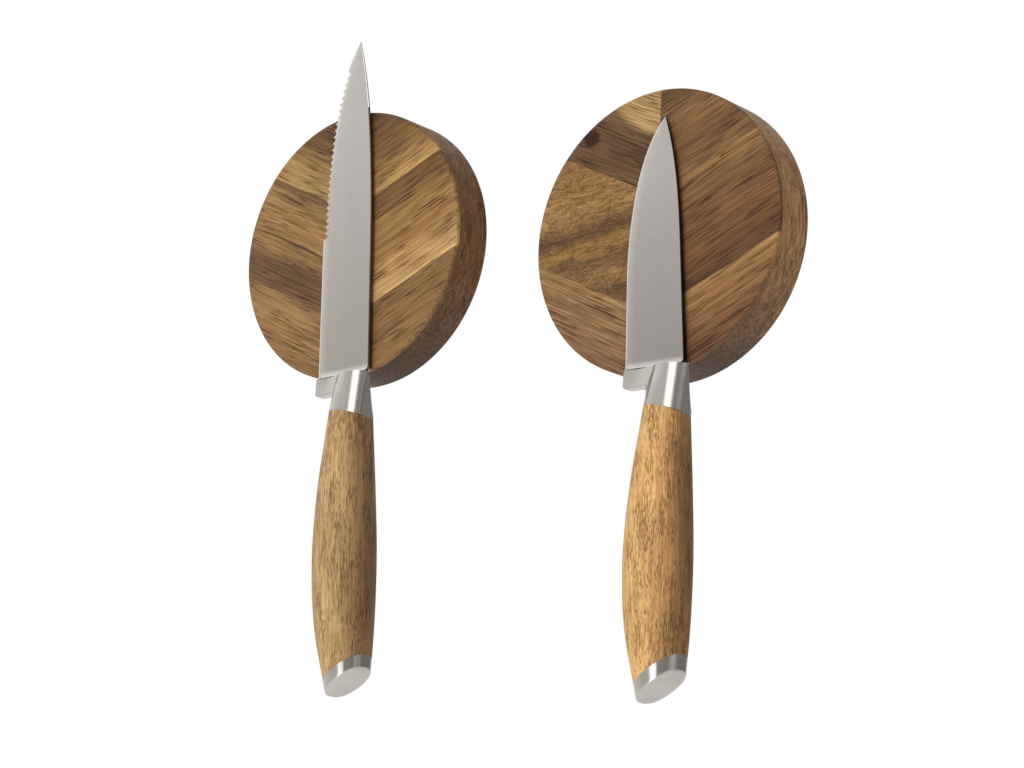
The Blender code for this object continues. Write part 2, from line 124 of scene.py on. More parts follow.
HEEL_RISE = 0.0012              # and how much more at the bottom

# Handle: share of its length, left X, right X, half thickness
HANDLE_STATIONS = (
    (0.00, -0.0038, 0.0120, 0.0077),
    (0.25, -0.0076, 0.0132, 0.0092),
    (0.50, -0.0095, 0.0141, 0.0099),
    (0.75, -0.0084, 0.0138, 0.0091),
    (1.00, -0.0031, 0.0121, 0.0073),
)
HANDLE_POWER = 2.3
RING_POINTS = 72
HANDLE_STEPS = 60
CAP_ROUND = 0.0006
BOSS_RADIUS = 0.0040
BOSS_LENGTH = 0.0080

# across and rim place the blade's foot on its disc, lean is in degrees; edge and spine are the
# X at the foot, X and Z where the curve to the tip starts, and the curve's two handles. The
# blade's steel tones lighten from the foot towards the tip as painted light, the tones of the
# spine side over the disc are painted shade, and the tones of the cap's flat end are painted
# light, lightest on the paring knife
KNIVES = {
    "serrated": {
        "holder": "left", "across": 0.0015, "rim": 0.0007, "lean": 3.45,
        "steel": ("b4aea7", "c2bcb6", "cfcac4"), "spine_painted_shade": ("5c5048", "6c6056"),
        "cap_end_painted_light": ("c9c2ba", "d6cfc8"),
        "handle": 0.0978, "cap": 0.0047, "slant": -0.56, "heel": -0.0117, "tip": (0.0062, 0.1263),
        "edge": (-0.0113, -0.0105, 0.040, 0.0311, (0.0135, 0.0168)),
        "spine": (0.0128, 0.0130, 0.045, 0.0304, (-0.0055, 0.0202)),
        "scallops": {"Start": 0.053, "End": 0.116, "Count": 26, "Depth": 0.0012, "Setback": 0.0002},
    },
    "paring": {
        "holder": "right", "across": 0.0041, "rim": 0.0022, "lean": 0.97,
        "steel": ("a8a39d", "b5b0aa", "c6c1bb"), "spine_painted_shade": ("2a241f", "3a332d"),
        "cap_end_painted_light": ("e6dfd8", "efe9e2"),
        "handle": 0.0938, "cap": 0.0056, "slant": -0.62, "heel": -0.0132, "tip": (0.0006, 0.0875),
        "edge": (-0.0131, -0.0136, 0.032, 0.0125, (0.0126, 0.0119)),
        "spine": (0.0113, 0.0089, 0.036, 0.0195, (-0.0056, 0.0159)),
        "scallops": None,
    },
}


def middle_of(node):
    low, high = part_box(node)
    return (Vector(low) + Vector(high)) / 2


DISCS = {side: middle_of(f"{side}_disc_core") for side in ("left", "right")}
CORE_LOW, CORE_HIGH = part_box("left_disc_core")
DISC_RADIUS = (CORE_HIGH[0] - CORE_LOW[0]) / 2
FACE_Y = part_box("left_upper_left_stave")[0][1]
WOOD_BACK_Y = CORE_HIGH[1]
PLATE_FRONT_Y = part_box("left_back_plate")[0][1]
PAD_LOW, PAD_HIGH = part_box("left_mounting_pad")


# Meshes ---------------------------------------------------------------------------------


SMOOTH, BLADE_SMOOTH, BOLSTER_SMOOTH = 30, 12, 24       # degrees; sharper edges stay sharp


def new_piece(name, mesh, finishes, smooth=SMOOTH, recalc=True):
    """An object at the origin from a bmesh, with one or more materials."""
    if recalc:
        bmesh.ops.recalc_face_normals(mesh, faces=mesh.faces)
    data = bpy.data.meshes.new(name)
    mesh.to_mesh(data)
    mesh.free()
    data.shade_smooth()
    data.set_sharp_from_angle(angle=math.radians(smooth))
    for finish in finishes:
        data.materials.append(finish)
    made = bpy.data.objects.new(name, data)
    bpy.context.scene.collection.objects.link(made)
    return made


def freeze(piece):
    """Makes a piece's modifiers part of its mesh."""
    graph = bpy.context.evaluated_depsgraph_get()
    mesh = bpy.data.meshes.new_from_object(piece.evaluated_get(graph), depsgraph=graph)
    piece.modifiers.clear()
    piece.data = mesh


def combine(piece, others):
    """Exact Booleans of a piece with (mesh, operation) pairs."""
    helpers = []
    for mesh, operation in others:
        helper = new_piece(piece.name + "_helper", mesh, [])
        step = piece.modifiers.new(operation, "BOOLEAN")
        step.operation = operation
        step.object = helper
        helpers.append(helper)
    freeze(piece)
    for helper in helpers:
        bpy.data.objects.remove(helper)


def loft(rings):
    """A closed solid through rings of as many points each."""
    mesh = bmesh.new()
    rows = [[mesh.verts.new(point) for point in ring] for ring in rings]
    for first, second in zip(rows, rows[1:]):
        for i in range(len(first)):
            j = (i + 1) % len(first)
            mesh.faces.new((first[i], first[j], second[j], second[i]))
    for ring in (rows[0], rows[-1]):
        mesh.faces.new(ring)
    return mesh


def turned(profile, steps, centre):
    """Solid turned about the line along Y through centre, from a profile of (radius, y)."""
    angles = [2 * math.pi * i / steps for i in range(steps)]
    return loft([
        [(centre.x + r * math.cos(a), y, centre.z + r * math.sin(a)) for a in angles]
        for r, y in profile
    ])


def box_mesh(low, high):
    corners = ((low[0], low[1]), (high[0], low[1]), (high[0], high[1]), (low[0], high[1]))
    return loft([[(x, y, z) for x, y in corners] for z in (low[2], high[2])])


def rounded(radius, y, bend, side, steps=6):
    """Quarter-round profile at a disc's rim: side is -1 for the front edge and 1 for the back."""
    turns = [math.pi / 2 * i / steps for i in range(steps + 1)]
    return [
        (radius - bend * (1 - math.cos(a)), y - side * bend * (1 - math.sin(a))) for a in turns
    ]


def hermite(points, x):
    """Height at x of the smooth curve through points (x, height)."""
    last = len(points) - 2
    i = min(max(sum(1 for p in points[1:-1] if x >= p[0]), 0), last)

    def slope(k):
        low, high = max(k - 1, 0), min(k + 1, last + 1)
        return (points[high][1] - points[low][1]) / (points[high][0] - points[low][0])

    (x0, y0), (x1, y1) = points[i], points[i + 1]
    m0, m1 = slope(i) * (x1 - x0), slope(i + 1) * (x1 - x0)
    t = (x - x0) / (x1 - x0)
    if t > 1:
        return y1 + m1 * (t - 1)
    return (
        (2 * t**3 - 3 * t**2 + 1) * y0 + (t**3 - 2 * t**2 + t) * m0
        + (3 * t**2 - 2 * t**3) * y1 + (t**3 - t**2) * m1
    )


# Shader helpers -------------------------------------------------------------------------


def srgb(text):
    """Linear colour from a hex code."""
    parts = [int(text[i : i + 2], 16) / 255 for i in (0, 2, 4)]
    return (*[c / 12.92 if c <= 0.04045 else ((c + 0.055) / 1.055) ** 2.4 for c in parts], 1)


def feed(tree, inputs, values):
    """Gives each named or numbered input its value, which is a constant or a socket."""
    for key, value in values.items():
        if isinstance(value, bpy.types.NodeSocket):
            tree.links.new(value, inputs[key])
        else:
            inputs[key].default_value = value


def put(tree, kind, values=None, **settings):
    """A node with its settings and the values of its inputs."""
    node = tree.nodes.new(kind)
    for key, value in settings.items():
        setattr(node, key, value)
    feed(tree, node.inputs, values or {})
    return node


def math_of(tree, operation, a, b=0.5, clamp=False):
    values = {0: a, 1: b}
    return put(tree, "ShaderNodeMath", values, operation=operation, use_clamp=clamp).outputs[0]


def spread(tree, value, low, high, to_low=0.0, to_high=1.0):
    """value from low..high to to_low..to_high, clamped."""
    values = {0: value, 1: low, 2: high, 3: to_low, 4: to_high}
    return put(tree, "ShaderNodeMapRange", values).outputs[0]


def noise(tree, vector, scale=1.0, detail=3.0, roughness=0.55):
    values = {"Vector": vector, "Scale": scale, "Detail": detail, "Roughness": roughness}
    return put(tree, "ShaderNodeTexNoise", values).outputs["Fac"]


def scaled(tree, vector, x, y, z, place=(0, 0, 0)):
    values = {"Vector": vector, "Scale": (x, y, z), "Location": place}
    return put(tree, "ShaderNodeMapping", values).outputs[0]


def joined(tree, x=0.0, y=0.0, z=0.0):
    """A vector from its parts."""
    return put(tree, "ShaderNodeCombineXYZ", {0: x, 1: y, 2: z}).outputs[0]


def parts_of(tree, vector):
    return put(tree, "ShaderNodeSeparateXYZ", {0: vector}).outputs


def vector_of(tree, operation, a, b):
    return put(tree, "ShaderNodeVectorMath", {0: a, 1: b}, operation=operation).outputs[0]


def length_of(tree, vector):
    values = {0: vector}
    return put(tree, "ShaderNodeVectorMath", values, operation="LENGTH").outputs["Value"]


def colour_of(tree, red, green, blue):
    return put(tree, "ShaderNodeCombineColor", {0: red, 1: green, 2: blue}).outputs[0]


def tinted(tree, colour, tint):
    return blend(tree, "MULTIPLY", 1.0, colour, tint)


def bumped(tree, height, strength, distance):
    values = {"Strength": strength, "Distance": distance, "Height": height}
    return put(tree, "ShaderNodeBump", values).outputs[0]


def blend(tree, mode, factor, a, b):
    values = {0: factor, 6: a, 7: b}
    return put(tree, "ShaderNodeMix", values, data_type="RGBA", blend_type=mode).outputs[2]


def ramp(tree, value, stops):
    """Colour ramp with stops of (place, colour)."""
    node = put(tree, "ShaderNodeValToRGB", {0: value})
    elements = node.color_ramp.elements
    while len(elements) < len(stops):
        elements.new(0.5)
    for element, (place, colour) in zip(elements, stops):
        element.position, element.color = place, colour
    return node.outputs[0]


def new_group(name, inputs, outputs):
    """An empty shader node group with float, vector or colour sockets."""
    tree = bpy.data.node_groups.new(name, "ShaderNodeTree")
    for direction, sockets in (("INPUT", inputs), ("OUTPUT", outputs)):
        for label, value in sockets.items():
            kind = {3: "Vector", 4: "Color"}.get(len(value) if hasattr(value, "__len__") else 1, "Float")
            socket = tree.interface.new_socket(
                name=label, in_out=direction, socket_type=f"NodeSocket{kind}"
            )
            if direction == "INPUT":
                socket.default_value = value
    return tree, tree.nodes.new("NodeGroupInput").outputs, tree.nodes.new("NodeGroupOutput").inputs


def use_group(tree, group, values):
    return put(tree, "ShaderNodeGroup", values, node_tree=group).outputs


def new_material(name):
    material = bpy.data.materials.new(name)
    material.use_nodes = True
    tree = material.node_tree
    return material, tree, tree.nodes["Principled BSDF"].inputs


def millimetres(tree, turn=(0, 0, 0), place=(0, 0, 0)):
    """Object coordinates in millimetres, turned and then moved."""
    values = {
        "Vector": put(tree, "ShaderNodeTexCoord").outputs["Object"], "Scale": (1000, 1000, 1000),
        "Rotation": turn, "Location": place,
    }
    return put(tree, "ShaderNodeMapping", values).outputs[0]


def grain_space(tree, centre, turn):
    """Millimetres from centre, with X along the grain and Z across it; turn is the grain's
    angle above +X on the disc's face."""
    return millimetres(tree, (0, turn, 0), -1000 * (Matrix.Rotation(turn, 3, "Y") @ centre))


# Shared shader groups -------------------------------------------------------------------


def make_grain_group():
    """Wood grain in millimetres: warped distance across the grain, fine streaks, open pores."""
    inputs = {
        "Vector": (0, 0, 0), "Warp": 4.0, "Streak Width": 0.8, "Streak Length": 28.0,
        "Pore Width": 0.11, "Pore Length": 6.0, "Pore Amount": 0.60, "Shift": (0, 0, 0),
    }
    tree, given, out = new_group(
        "wood_grain", inputs, {"Across": 0.0, "Streaks": 0.0, "Pores": 0.0, "Height": 0.0}
    )
    shifted = vector_of(tree, "ADD", given["Vector"], given["Shift"])
    parts = parts_of(tree, shifted)
    slow = noise(tree, scaled(tree, shifted, 0.018, 0.05, 0.06), 1.0, 2.0, 0.5)
    bend = math_of(tree, "MULTIPLY", math_of(tree, "SUBTRACT", slow), given["Warp"])
    across = math_of(tree, "ADD", parts_of(tree, given["Vector"])["Z"], bend)
    moved = math_of(tree, "ADD", parts["Z"], bend)

    def stretched(length, width):
        pairs = ((parts["X"], length), (parts["Y"], width), (moved, width))
        return joined(tree, *(math_of(tree, "DIVIDE", part, unit) for part, unit in pairs))

    coarse = noise(tree, stretched(given["Streak Length"], given["Streak Width"]), 1.0, 5.0, 0.74)
    streaks = spread(tree, coarse, 0.34, 0.66)
    dashes = noise(tree, stretched(given["Pore Length"], given["Pore Width"]), 0.5, 1.0, 0.4)
    patches = noise(tree, stretched(12.0, 3.0), 1.0, 2.0, 0.5)
    limit = math_of(tree, "SUBTRACT", 0.86, math_of(tree, "MULTIPLY", patches, given["Pore Amount"]))
    over = math_of(tree, "SUBTRACT", dashes, limit)
    pores = math_of(tree, "MULTIPLY", over, 9.0, clamp=True)
    height = math_of(tree, "SUBTRACT", math_of(tree, "MULTIPLY", streaks, 0.25), pores)
    feed(tree, out, {"Across": across, "Streaks": streaks, "Pores": pores, "Height": height})
    return tree


LINE_FADE = 5.0                 # millimetres


def make_line_group():
    """Soft dark line along the grain at a given distance across it, fading at both ends."""
    inputs = {"Across": 0.0, "Along": 0.0, "Place": 0.0, "Width": 1.0, "Start": -50.0, "End": 50.0}
    tree, given, out = new_group("grain_line", inputs, {"Mask": 0.0})
    off = math_of(tree, "ABSOLUTE", math_of(tree, "SUBTRACT", given["Across"], given["Place"]))
    share = math_of(tree, "DIVIDE", off, given["Width"])
    body = math_of(tree, "SUBTRACT", 1.0, share, clamp=True)
    fades = []
    for a, b in (("Along", "Start"), ("End", "Along")):
        inside = math_of(tree, "SUBTRACT", given[a], given[b])
        fades.append(math_of(tree, "DIVIDE", inside, LINE_FADE, clamp=True))
    span = math_of(tree, "MULTIPLY", *fades)
    feed(tree, out, {"Mask": math_of(tree, "MULTIPLY", body, span)})
    return tree


def make_knot_group():
    """Round knot: its core mask, a halo round it, and how far it pushes the grain aside."""
    inputs = {"Vector": (0, 0, 0), "Centre": (0, 0, 0), "Radius": 3.0}
    tree, given, out = new_group("wood_knot", inputs, {"Core": 0.0, "Halo": 0.0, "Push": 0.0})
    apart = vector_of(tree, "SUBTRACT", given["Vector"], given["Centre"])
    apart = scaled(tree, apart, 0.8, 0, 1)
    wavy = math_of(tree, "SUBTRACT", noise(tree, apart, 0.35, 2.0))
    far = math_of(tree, "ADD", length_of(tree, apart), math_of(tree, "MULTIPLY", wavy, 3.0))
    share = math_of(tree, "DIVIDE", far, given["Radius"])
    side = math_of(tree, "DIVIDE", parts_of(tree, apart)["Z"], given["Radius"])
    fall = math_of(tree, "POWER", 2.0, math_of(tree, "MULTIPLY", share, -0.9))
    push = math_of(tree, "MULTIPLY", math_of(tree, "MULTIPLY", side, fall), given["Radius"])
    core, halo = spread(tree, share, 0.75, 1.1, 1.0, 0.0), spread(tree, share, 0.9, 2.6, 1.0, 0.0)
    feed(tree, out, {"Core": core, "Halo": halo, "Push": push})
    return tree


def make_brush_group():
    """Fine parallel grinding lines on steel."""
    inputs = {"Vector": (0, 0, 0), "Line Width": 0.08, "Line Length": 9.0}
    tree, given, out = new_group("brushed_lines", inputs, {"Lines": 0.0, "Clouds": 0.0})
    parts = parts_of(tree, given["Vector"])
    pairs = (("X", "Line Length"), ("Y", "Line Length"), ("Z", "Line Width"))
    stretched = joined(tree, *(math_of(tree, "DIVIDE", parts[a], given[unit]) for a, unit in pairs))
    lines, clouds = noise(tree, stretched, 1.0, 3.0, 0.6), noise(tree, given["Vector"], 0.06, 3.0, 0.5)
    feed(tree, out, {"Lines": lines, "Clouds": clouds})
    return tree


GRAIN = make_grain_group()
LINE = make_line_group()
KNOT = make_knot_group()
BRUSH = make_brush_group()


# Wood -----------------------------------------------------------------------------------


LINE_TONE, HALO_TONE, PORE_TONE = "24160d", "6b4a2c", "8a7462"
WOOD_SPECULAR = 0.22            # dry oil hardly shines
PORE_DEPTH = 0.00012


def wood(name, centre, turn, low, high, tones, grain=None, lines=(), knot=None, depth=0.42,
         pore_depth=0.9, tone_or_shade_patch=None):
    """Oiled acacia. tones run from low to high millimetres across the grain, evenly spaced.
    lines are (place, width, start, end, strength), a knot is (centre, radius, tone), and a
    patch of another tone is (centre, radius, tone, share of the radius that is solid): the
    wood's own on a stave, painted shade on the cores."""
    material, tree, shader = new_material(name)
    space = grain_space(tree, centre, turn)
    figure = use_group(tree, GRAIN, {"Vector": space, **(grain or {})})
    across = figure["Across"]
    if knot:
        spot = use_group(tree, KNOT, {"Vector": space, "Centre": knot[0], "Radius": knot[1]})
        across = math_of(tree, "SUBTRACT", across, spot["Push"])
    share = spread(tree, across, low, high)
    stops = [(i / (len(tones) - 1), srgb(tone)) for i, tone in enumerate(tones)]
    colour = ramp(tree, share, stops)
    # A patch of another tone: the wood's own on a stave, painted shade on the cores.
    if tone_or_shade_patch:
        place, reach, tone, softness = tone_or_shade_patch
        off = vector_of(tree, "SUBTRACT", space, place)
        near = length_of(tree, scaled(tree, off, 0.5, 0, 1))
        mask = spread(tree, near, reach * softness, reach, 1.0, 0.0)
        colour = blend(tree, "MIX", mask, colour, srgb(tone))
    shade = spread(tree, figure["Streaks"], 0.0, 1.0, 1 - depth, 1 + depth * 0.8)
    red, green = math_of(tree, "MULTIPLY", shade, 1.06), math_of(tree, "POWER", shade, 1.12)
    blue = math_of(tree, "MULTIPLY", math_of(tree, "POWER", shade, 1.4), 0.86)
    colour = tinted(tree, colour, colour_of(tree, red, green, blue))
    cloud = noise(tree, scaled(tree, space, 0.03, 0.1, 0.11, (7, 3, 1)))
    haze = spread(tree, cloud, 0.3, 0.7, 0.86, 1.12)
    colour = tinted(tree, colour, colour_of(tree, haze, haze, haze))
    for place, width, start, end, strength in lines:
        values = {
            "Across": across, "Along": parts_of(tree, space)["X"], "Place": place, "Width": width,
            "Start": start, "End": end,
        }
        mask = math_of(tree, "MULTIPLY", use_group(tree, LINE, values)["Mask"], strength)
        colour = blend(tree, "MIX", mask, colour, srgb(LINE_TONE))
    if knot:
        halo = math_of(tree, "MULTIPLY", spot["Halo"], 0.45)
        colour = blend(tree, "MIX", halo, colour, srgb(HALO_TONE))
        colour = blend(tree, "MIX", spot["Core"], colour, srgb(knot[2]))
    mask = math_of(tree, "MULTIPLY", figure["Pores"], pore_depth)
    colour = blend(tree, "MULTIPLY", mask, colour, srgb(PORE_TONE))
    feed(tree, shader, {
        "Base Color": colour, "Specular IOR Level": WOOD_SPECULAR,
        "Roughness": spread(tree, figure["Streaks"], 0.0, 1.0, 0.60, 0.50),
        "Normal": bumped(tree, figure["Height"], 0.5, PORE_DEPTH),
    })
    return material


# Tones of each stave from its lower joint or rim to its upper one, in the grain's own frame
STAVES = {
    ("left", "upper", "left"): {
        "range": (12, 44),
        "tones": ("a3875a", "9d7f52", "8f7247", "6a5132", "61492d", "755937", "7e613b"),
    },
    ("left", "middle", "left"): {
        "range": (-26, 12),
        "tones": ("6e5237", "6b4f36", "5f4730", "8d6d48", "8c6c47", "99774e", "96764e", "8b6e49",
                  "664d31"),
        "grain": {"Warp": 5.0},
        "lines": ((-8.3, 0.5, -47.0, 60.0, 0.85), (-10.2, 0.4, 20.0, 60.0, 0.5)),
    },
    ("left", "lower", "left"): {
        "range": (-48, -27),
        "tones": ("876744", "8c6c48", "96744d", "987750", "876a47"),
        "lines": ((-38.0, 0.35, 0.0, 60.0, 0.5),),
    },
    ("left", "upper", "right"): {
        "range": (12, 44),
        "tones": ("b79663", "957248", "795c38", "6d5131", "61482c", "5d452a"),
    },
    ("left", "middle", "right"): {
        "range": (-26, 11),
        "tones": ("c2a06f", "b59265", "ac8a5c", "967247", "947249", "957347", "8a6840", "765835", "6d4f30"),
        "grain": {"Streak Width": 0.6, "Warp": 2.0},
    },
    ("left", "lower", "right"): {
        "range": (-48, -27),
        "tones": ("8c6c45", "856642", "826240", "826340", "856743"),
        "grain": {"Streak Width": 0.6},
    },
    ("right", "upper", "left"): {
        "range": (12, 44),
        "tones": ("62482f", "60462d", "58402a", "684f35", "6d5437", "725739", "765a37"),
        "grain": {"Warp": 6.0},
        "knot": ((-41.8, 0, 21.5), 3.4, "35160d"),
        "tone_or_shade_patch": ((-22, 0, 37.5), 8.5, "a88b60", 0.7),
    },
    ("right", "middle", "left"): {
        "range": (-34, 26),
        "turn": 9.0,
        "tones": ("8b6a44", "8c6b44", "876640", "6a4f33", "8d6b44", "6a4d31", "93703f", "60462c",
                  "916f45", "967348", "8c6a40"),
        "grain": {"Streak Width": 1.1, "Streak Length": 5.0, "Pore Length": 0.5, "Pore Width": 0.10,
                  "Pore Amount": 0.68, "Warp": 6.0},
        "depth": 0.45,
        "pore_depth": 0.6,
    },
    ("right", "lower", "left"): {
        "range": (-48, -27),
        "tones": ("7f6147", "826347", "907050", "87694b", "947451"),
        "depth": 0.5,
    },
    ("right", "upper", "right"): {
        "range": (12, 44),
        "tones": ("80603f", "795838", "66472d", "7c5b39", "7a5939", "7c5e3e", "684c2f", "65482d"),
    },
    ("right", "middle", "right"): {
        "range": (-26, 11),
        "tones": ("5c402a", "64452c", "6f4d2f", "714e30", "795636", "725134", "785737", "83623f", "916e47"),
        "grain": {"Streak Width": 0.9},
    },
    ("right", "lower", "right"): {
        "range": (-48, -27),
        "tones": ("6c4c35", "735236", "805d3c", "8e6a45", "9a774c"),
        "grain": {"Warp": 3.0},
    },
}


# Holders --------------------------------------------------------------------------------


def rim_angle(side, height, radius):
    """Angle at which a stave joint crosses the rim: the joint is z = height + slope * |x|."""
    k = STAVE_SLOPE
    x = (-k * height + math.sqrt((1 + k * k) * radius**2 - height**2)) / (1 + k * k)
    return math.atan2(height + k * x, side * x)


def stave_outline(side, index, radius, count):
    seam = HAIRLINE / 2
    clear = seam * math.sqrt(1 + STAVE_SLOPE**2)
    low = None if index == 0 else JOINT_HEIGHTS[index - 1] + clear
    high = None if index == len(JOINT_HEIGHTS) else JOINT_HEIGHTS[index] - clear
    seam_angle = math.acos(side * seam / radius)
    start = -seam_angle if low is None else rim_angle(side, low, radius)
    end = seam_angle if high is None else rim_angle(side, high, radius)
    if side < 0:
        start, end = start % (2 * math.pi), end % (2 * math.pi)
    arc = [start + (end - start) * i / count for i in range(count + 1)]
    points = [(radius * math.cos(a), radius * math.sin(a)) for a in arc]
    if high is not None:
        points.append((side * seam, high + STAVE_SLOPE * seam))
    if low is not None:
        points.append((side * seam, low + STAVE_SLOPE * seam))
    return points


def make_stave(holder, level, index, flank):
    side = -1 if flank == "left" else 1
    node = f"{holder}_{level}_{flank}_stave"
    centre = DISCS[holder]
    look = dict(STAVES[(holder, level, flank)])
    turn = math.radians(look.pop("turn")) if "turn" in look else side * GRAIN_ANGLE
    low, high = look.pop("range")
    shift = (37.0 * index + 11 * side, 5.0 * len(holder), 0)
    look["grain"] = {**look.get("grain", {}), "Shift": shift}
    finish = wood(f"acacia_{node}", centre, turn, low, high, look.pop("tones"), **look)
    back = FACE_Y + STAVE_THICKNESS
    profile = [(DISC_RADIUS, back)] + rounded(DISC_RADIUS, FACE_Y, FACE_ROUND, -1)
    count = round(math.pi / 3 / ARC_STEP)
    rings = [
        [(centre.x + x, y, centre.z + z) for x, z in stave_outline(side, index, radius, count)]
        for radius, y in profile
    ]
    piece = new_piece(f"{holder}_{level}_{flank}_face_stave", loft(rings), [finish])
    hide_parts(node)
    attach(piece, "holders")


CORES = {
    "left": ("85603f", "8c6845", "8a6848", "8a6b4f", "7a5a44", "76563f"),
    "right": ("b58d62", "b08a62", "a88460", "8f6c50", "97745a", "86654a"),
}


def make_core(holder):
    """Solid board with upright grain, rounded at the back, with a recess for the plate."""
    centre = DISCS[holder]
    front = FACE_Y + STAVE_THICKNESS + HAIRLINE
    rim = rounded(DISC_RADIUS, WOOD_BACK_Y, BACK_ROUND, 1)
    profile = [(DISC_RADIUS, front)] + rim + [
        (RECESS_RADIUS + RECESS_LIP, WOOD_BACK_Y),
        (RECESS_RADIUS, WOOD_BACK_Y - RECESS_LIP),
        (RECESS_RADIUS, PLATE_FRONT_Y - RECESS_GAP),
    ]
    grain = {
        "Streak Width": 1.1, "Streak Length": 40.0, "Warp": 7.0, "Shift": (3.0, 20.0 * len(holder), 9.0),
    }
    # The dark patch low on the right of each board is painted shade: the bottom of the rim darkened as if
    # turned from the light.
    finish = wood(
        f"acacia_{holder}_core", centre, math.pi / 2, -50, 50, CORES[holder], grain=grain, depth=0.5,
        tone_or_shade_patch=((-58, 0, -20), 58, "46301f", 0.1),
    )
    steps = round(2 * math.pi / ARC_STEP)
    piece = new_piece(f"{holder}_wooden_disc", turned(profile, steps, centre), [finish])
    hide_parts(f"{holder}_disc_core")
    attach(piece, "holders")


def foam(name):
    material, tree, shader = new_material(name)
    space = millimetres(tree)
    cells = put(tree, "ShaderNodeTexVoronoi", {"Vector": space, "Scale": 2.2}).outputs["Distance"]
    dirt = noise(tree, space, 0.12, 4.0)
    feed(tree, shader, {
        "Base Color": ramp(tree, dirt, [(0.3, srgb("2b2b2d")), (0.7, srgb("3b3b3d"))]),
        "Roughness": spread(tree, cells, 0.0, 0.6, 0.95, 0.75),
        "Normal": bumped(tree, cells, 0.6, 0.0001),
    })
    return material


def brushed_steel(name, tones, rough, lines, clouds=(0.3, 0.7), knife=None):
    """Steel between two tones and two roughnesses; its brushing follows a knife if given."""
    material, tree, shader = new_material(name)
    space = knife_space(tree, knife) if knife else millimetres(tree)
    brushed = use_group(tree, BRUSH, {"Vector": space, **lines})
    stops = [(place, srgb(tone)) for place, tone in zip(clouds, tones)]
    feed(tree, shader, {
        "Base Color": ramp(tree, brushed["Clouds"], stops), "Metallic": 1.0,
        "Roughness": spread(tree, brushed["Lines"], 0.3, 0.7, *rough),
    })
    return material


def hardware_steel(name, tones, rough, line_width):
    """Zinc-plated or ground hardware."""
    span = (rough - 0.05, rough + 0.07)
    return brushed_steel(name, tones, span, {"Line Width": line_width}, clouds=(0.35, 0.65))


def fitting_steel(name, knife, tones, rough):
    """Steel of the bolster and end cap."""
    lines = {"Line Width": 0.06, "Line Length": 5.0}
    return brushed_steel(name, tones, (rough - 0.03, rough + 0.04), lines, knife=knife)


def make_pad(holder, finish):
    """Self-adhesive foam disc with soft edges."""
    centre = DISCS[holder]
    back = rounded((PAD_HIGH[0] - PAD_LOW[0]) / 2, PAD_HIGH[1], PAD_SOFT, 1)
    front = [(r, PAD_LOW[1] + PAD_HIGH[1] - y) for r, y in back][::-1]
    profile = front + back
    piece = new_piece(f"{holder}_foam_pad", turned(profile, 160, centre), [finish])
    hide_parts(f"{holder}_mounting_pad")
    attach(piece, "holders")


# Geometry Nodes -------------------------------------------------------------------------


def new_geometry_tree(name, inputs):
    """A Geometry Nodes tree with a Geometry input and output and named sizes."""
    tree = bpy.data.node_groups.new(name, "GeometryNodeTree")
    tree.interface.new_socket(name="Geometry", in_out="INPUT", socket_type="NodeSocketGeometry")
    tree.interface.new_socket(name="Geometry", in_out="OUTPUT", socket_type="NodeSocketGeometry")
    for label, value in inputs.items():
        kind = "Material" if value is None else "Int" if isinstance(value, int) else "Float"
        socket = tree.interface.new_socket(name=label, in_out="INPUT", socket_type=f"NodeSocket{kind}")
        if value is not None:
            socket.default_value = value
    return tree, tree.nodes.new("NodeGroupInput").outputs, tree.nodes.new("NodeGroupOutput").inputs


def finish_tree(tree, geometry, material, out):
    real = put(tree, "GeometryNodeRealizeInstances", {0: geometry}).outputs[0]
    painted = put(tree, "GeometryNodeSetMaterial", {"Geometry": real, "Material": material}).outputs[0]
    tree.links.new(painted, out["Geometry"])
    return tree


def run_tree(piece, tree, values):
    """Runs a tree on a piece once, which leaves a plain mesh."""
    step = piece.modifiers.new(tree.name, "NODES")
    step.node_group = tree
    names = {item.name: item.identifier for item in tree.interface.items_tree if item.in_out == "INPUT"}
    for label, value in values.items():
        step[names[label]] = value
    freeze(piece)


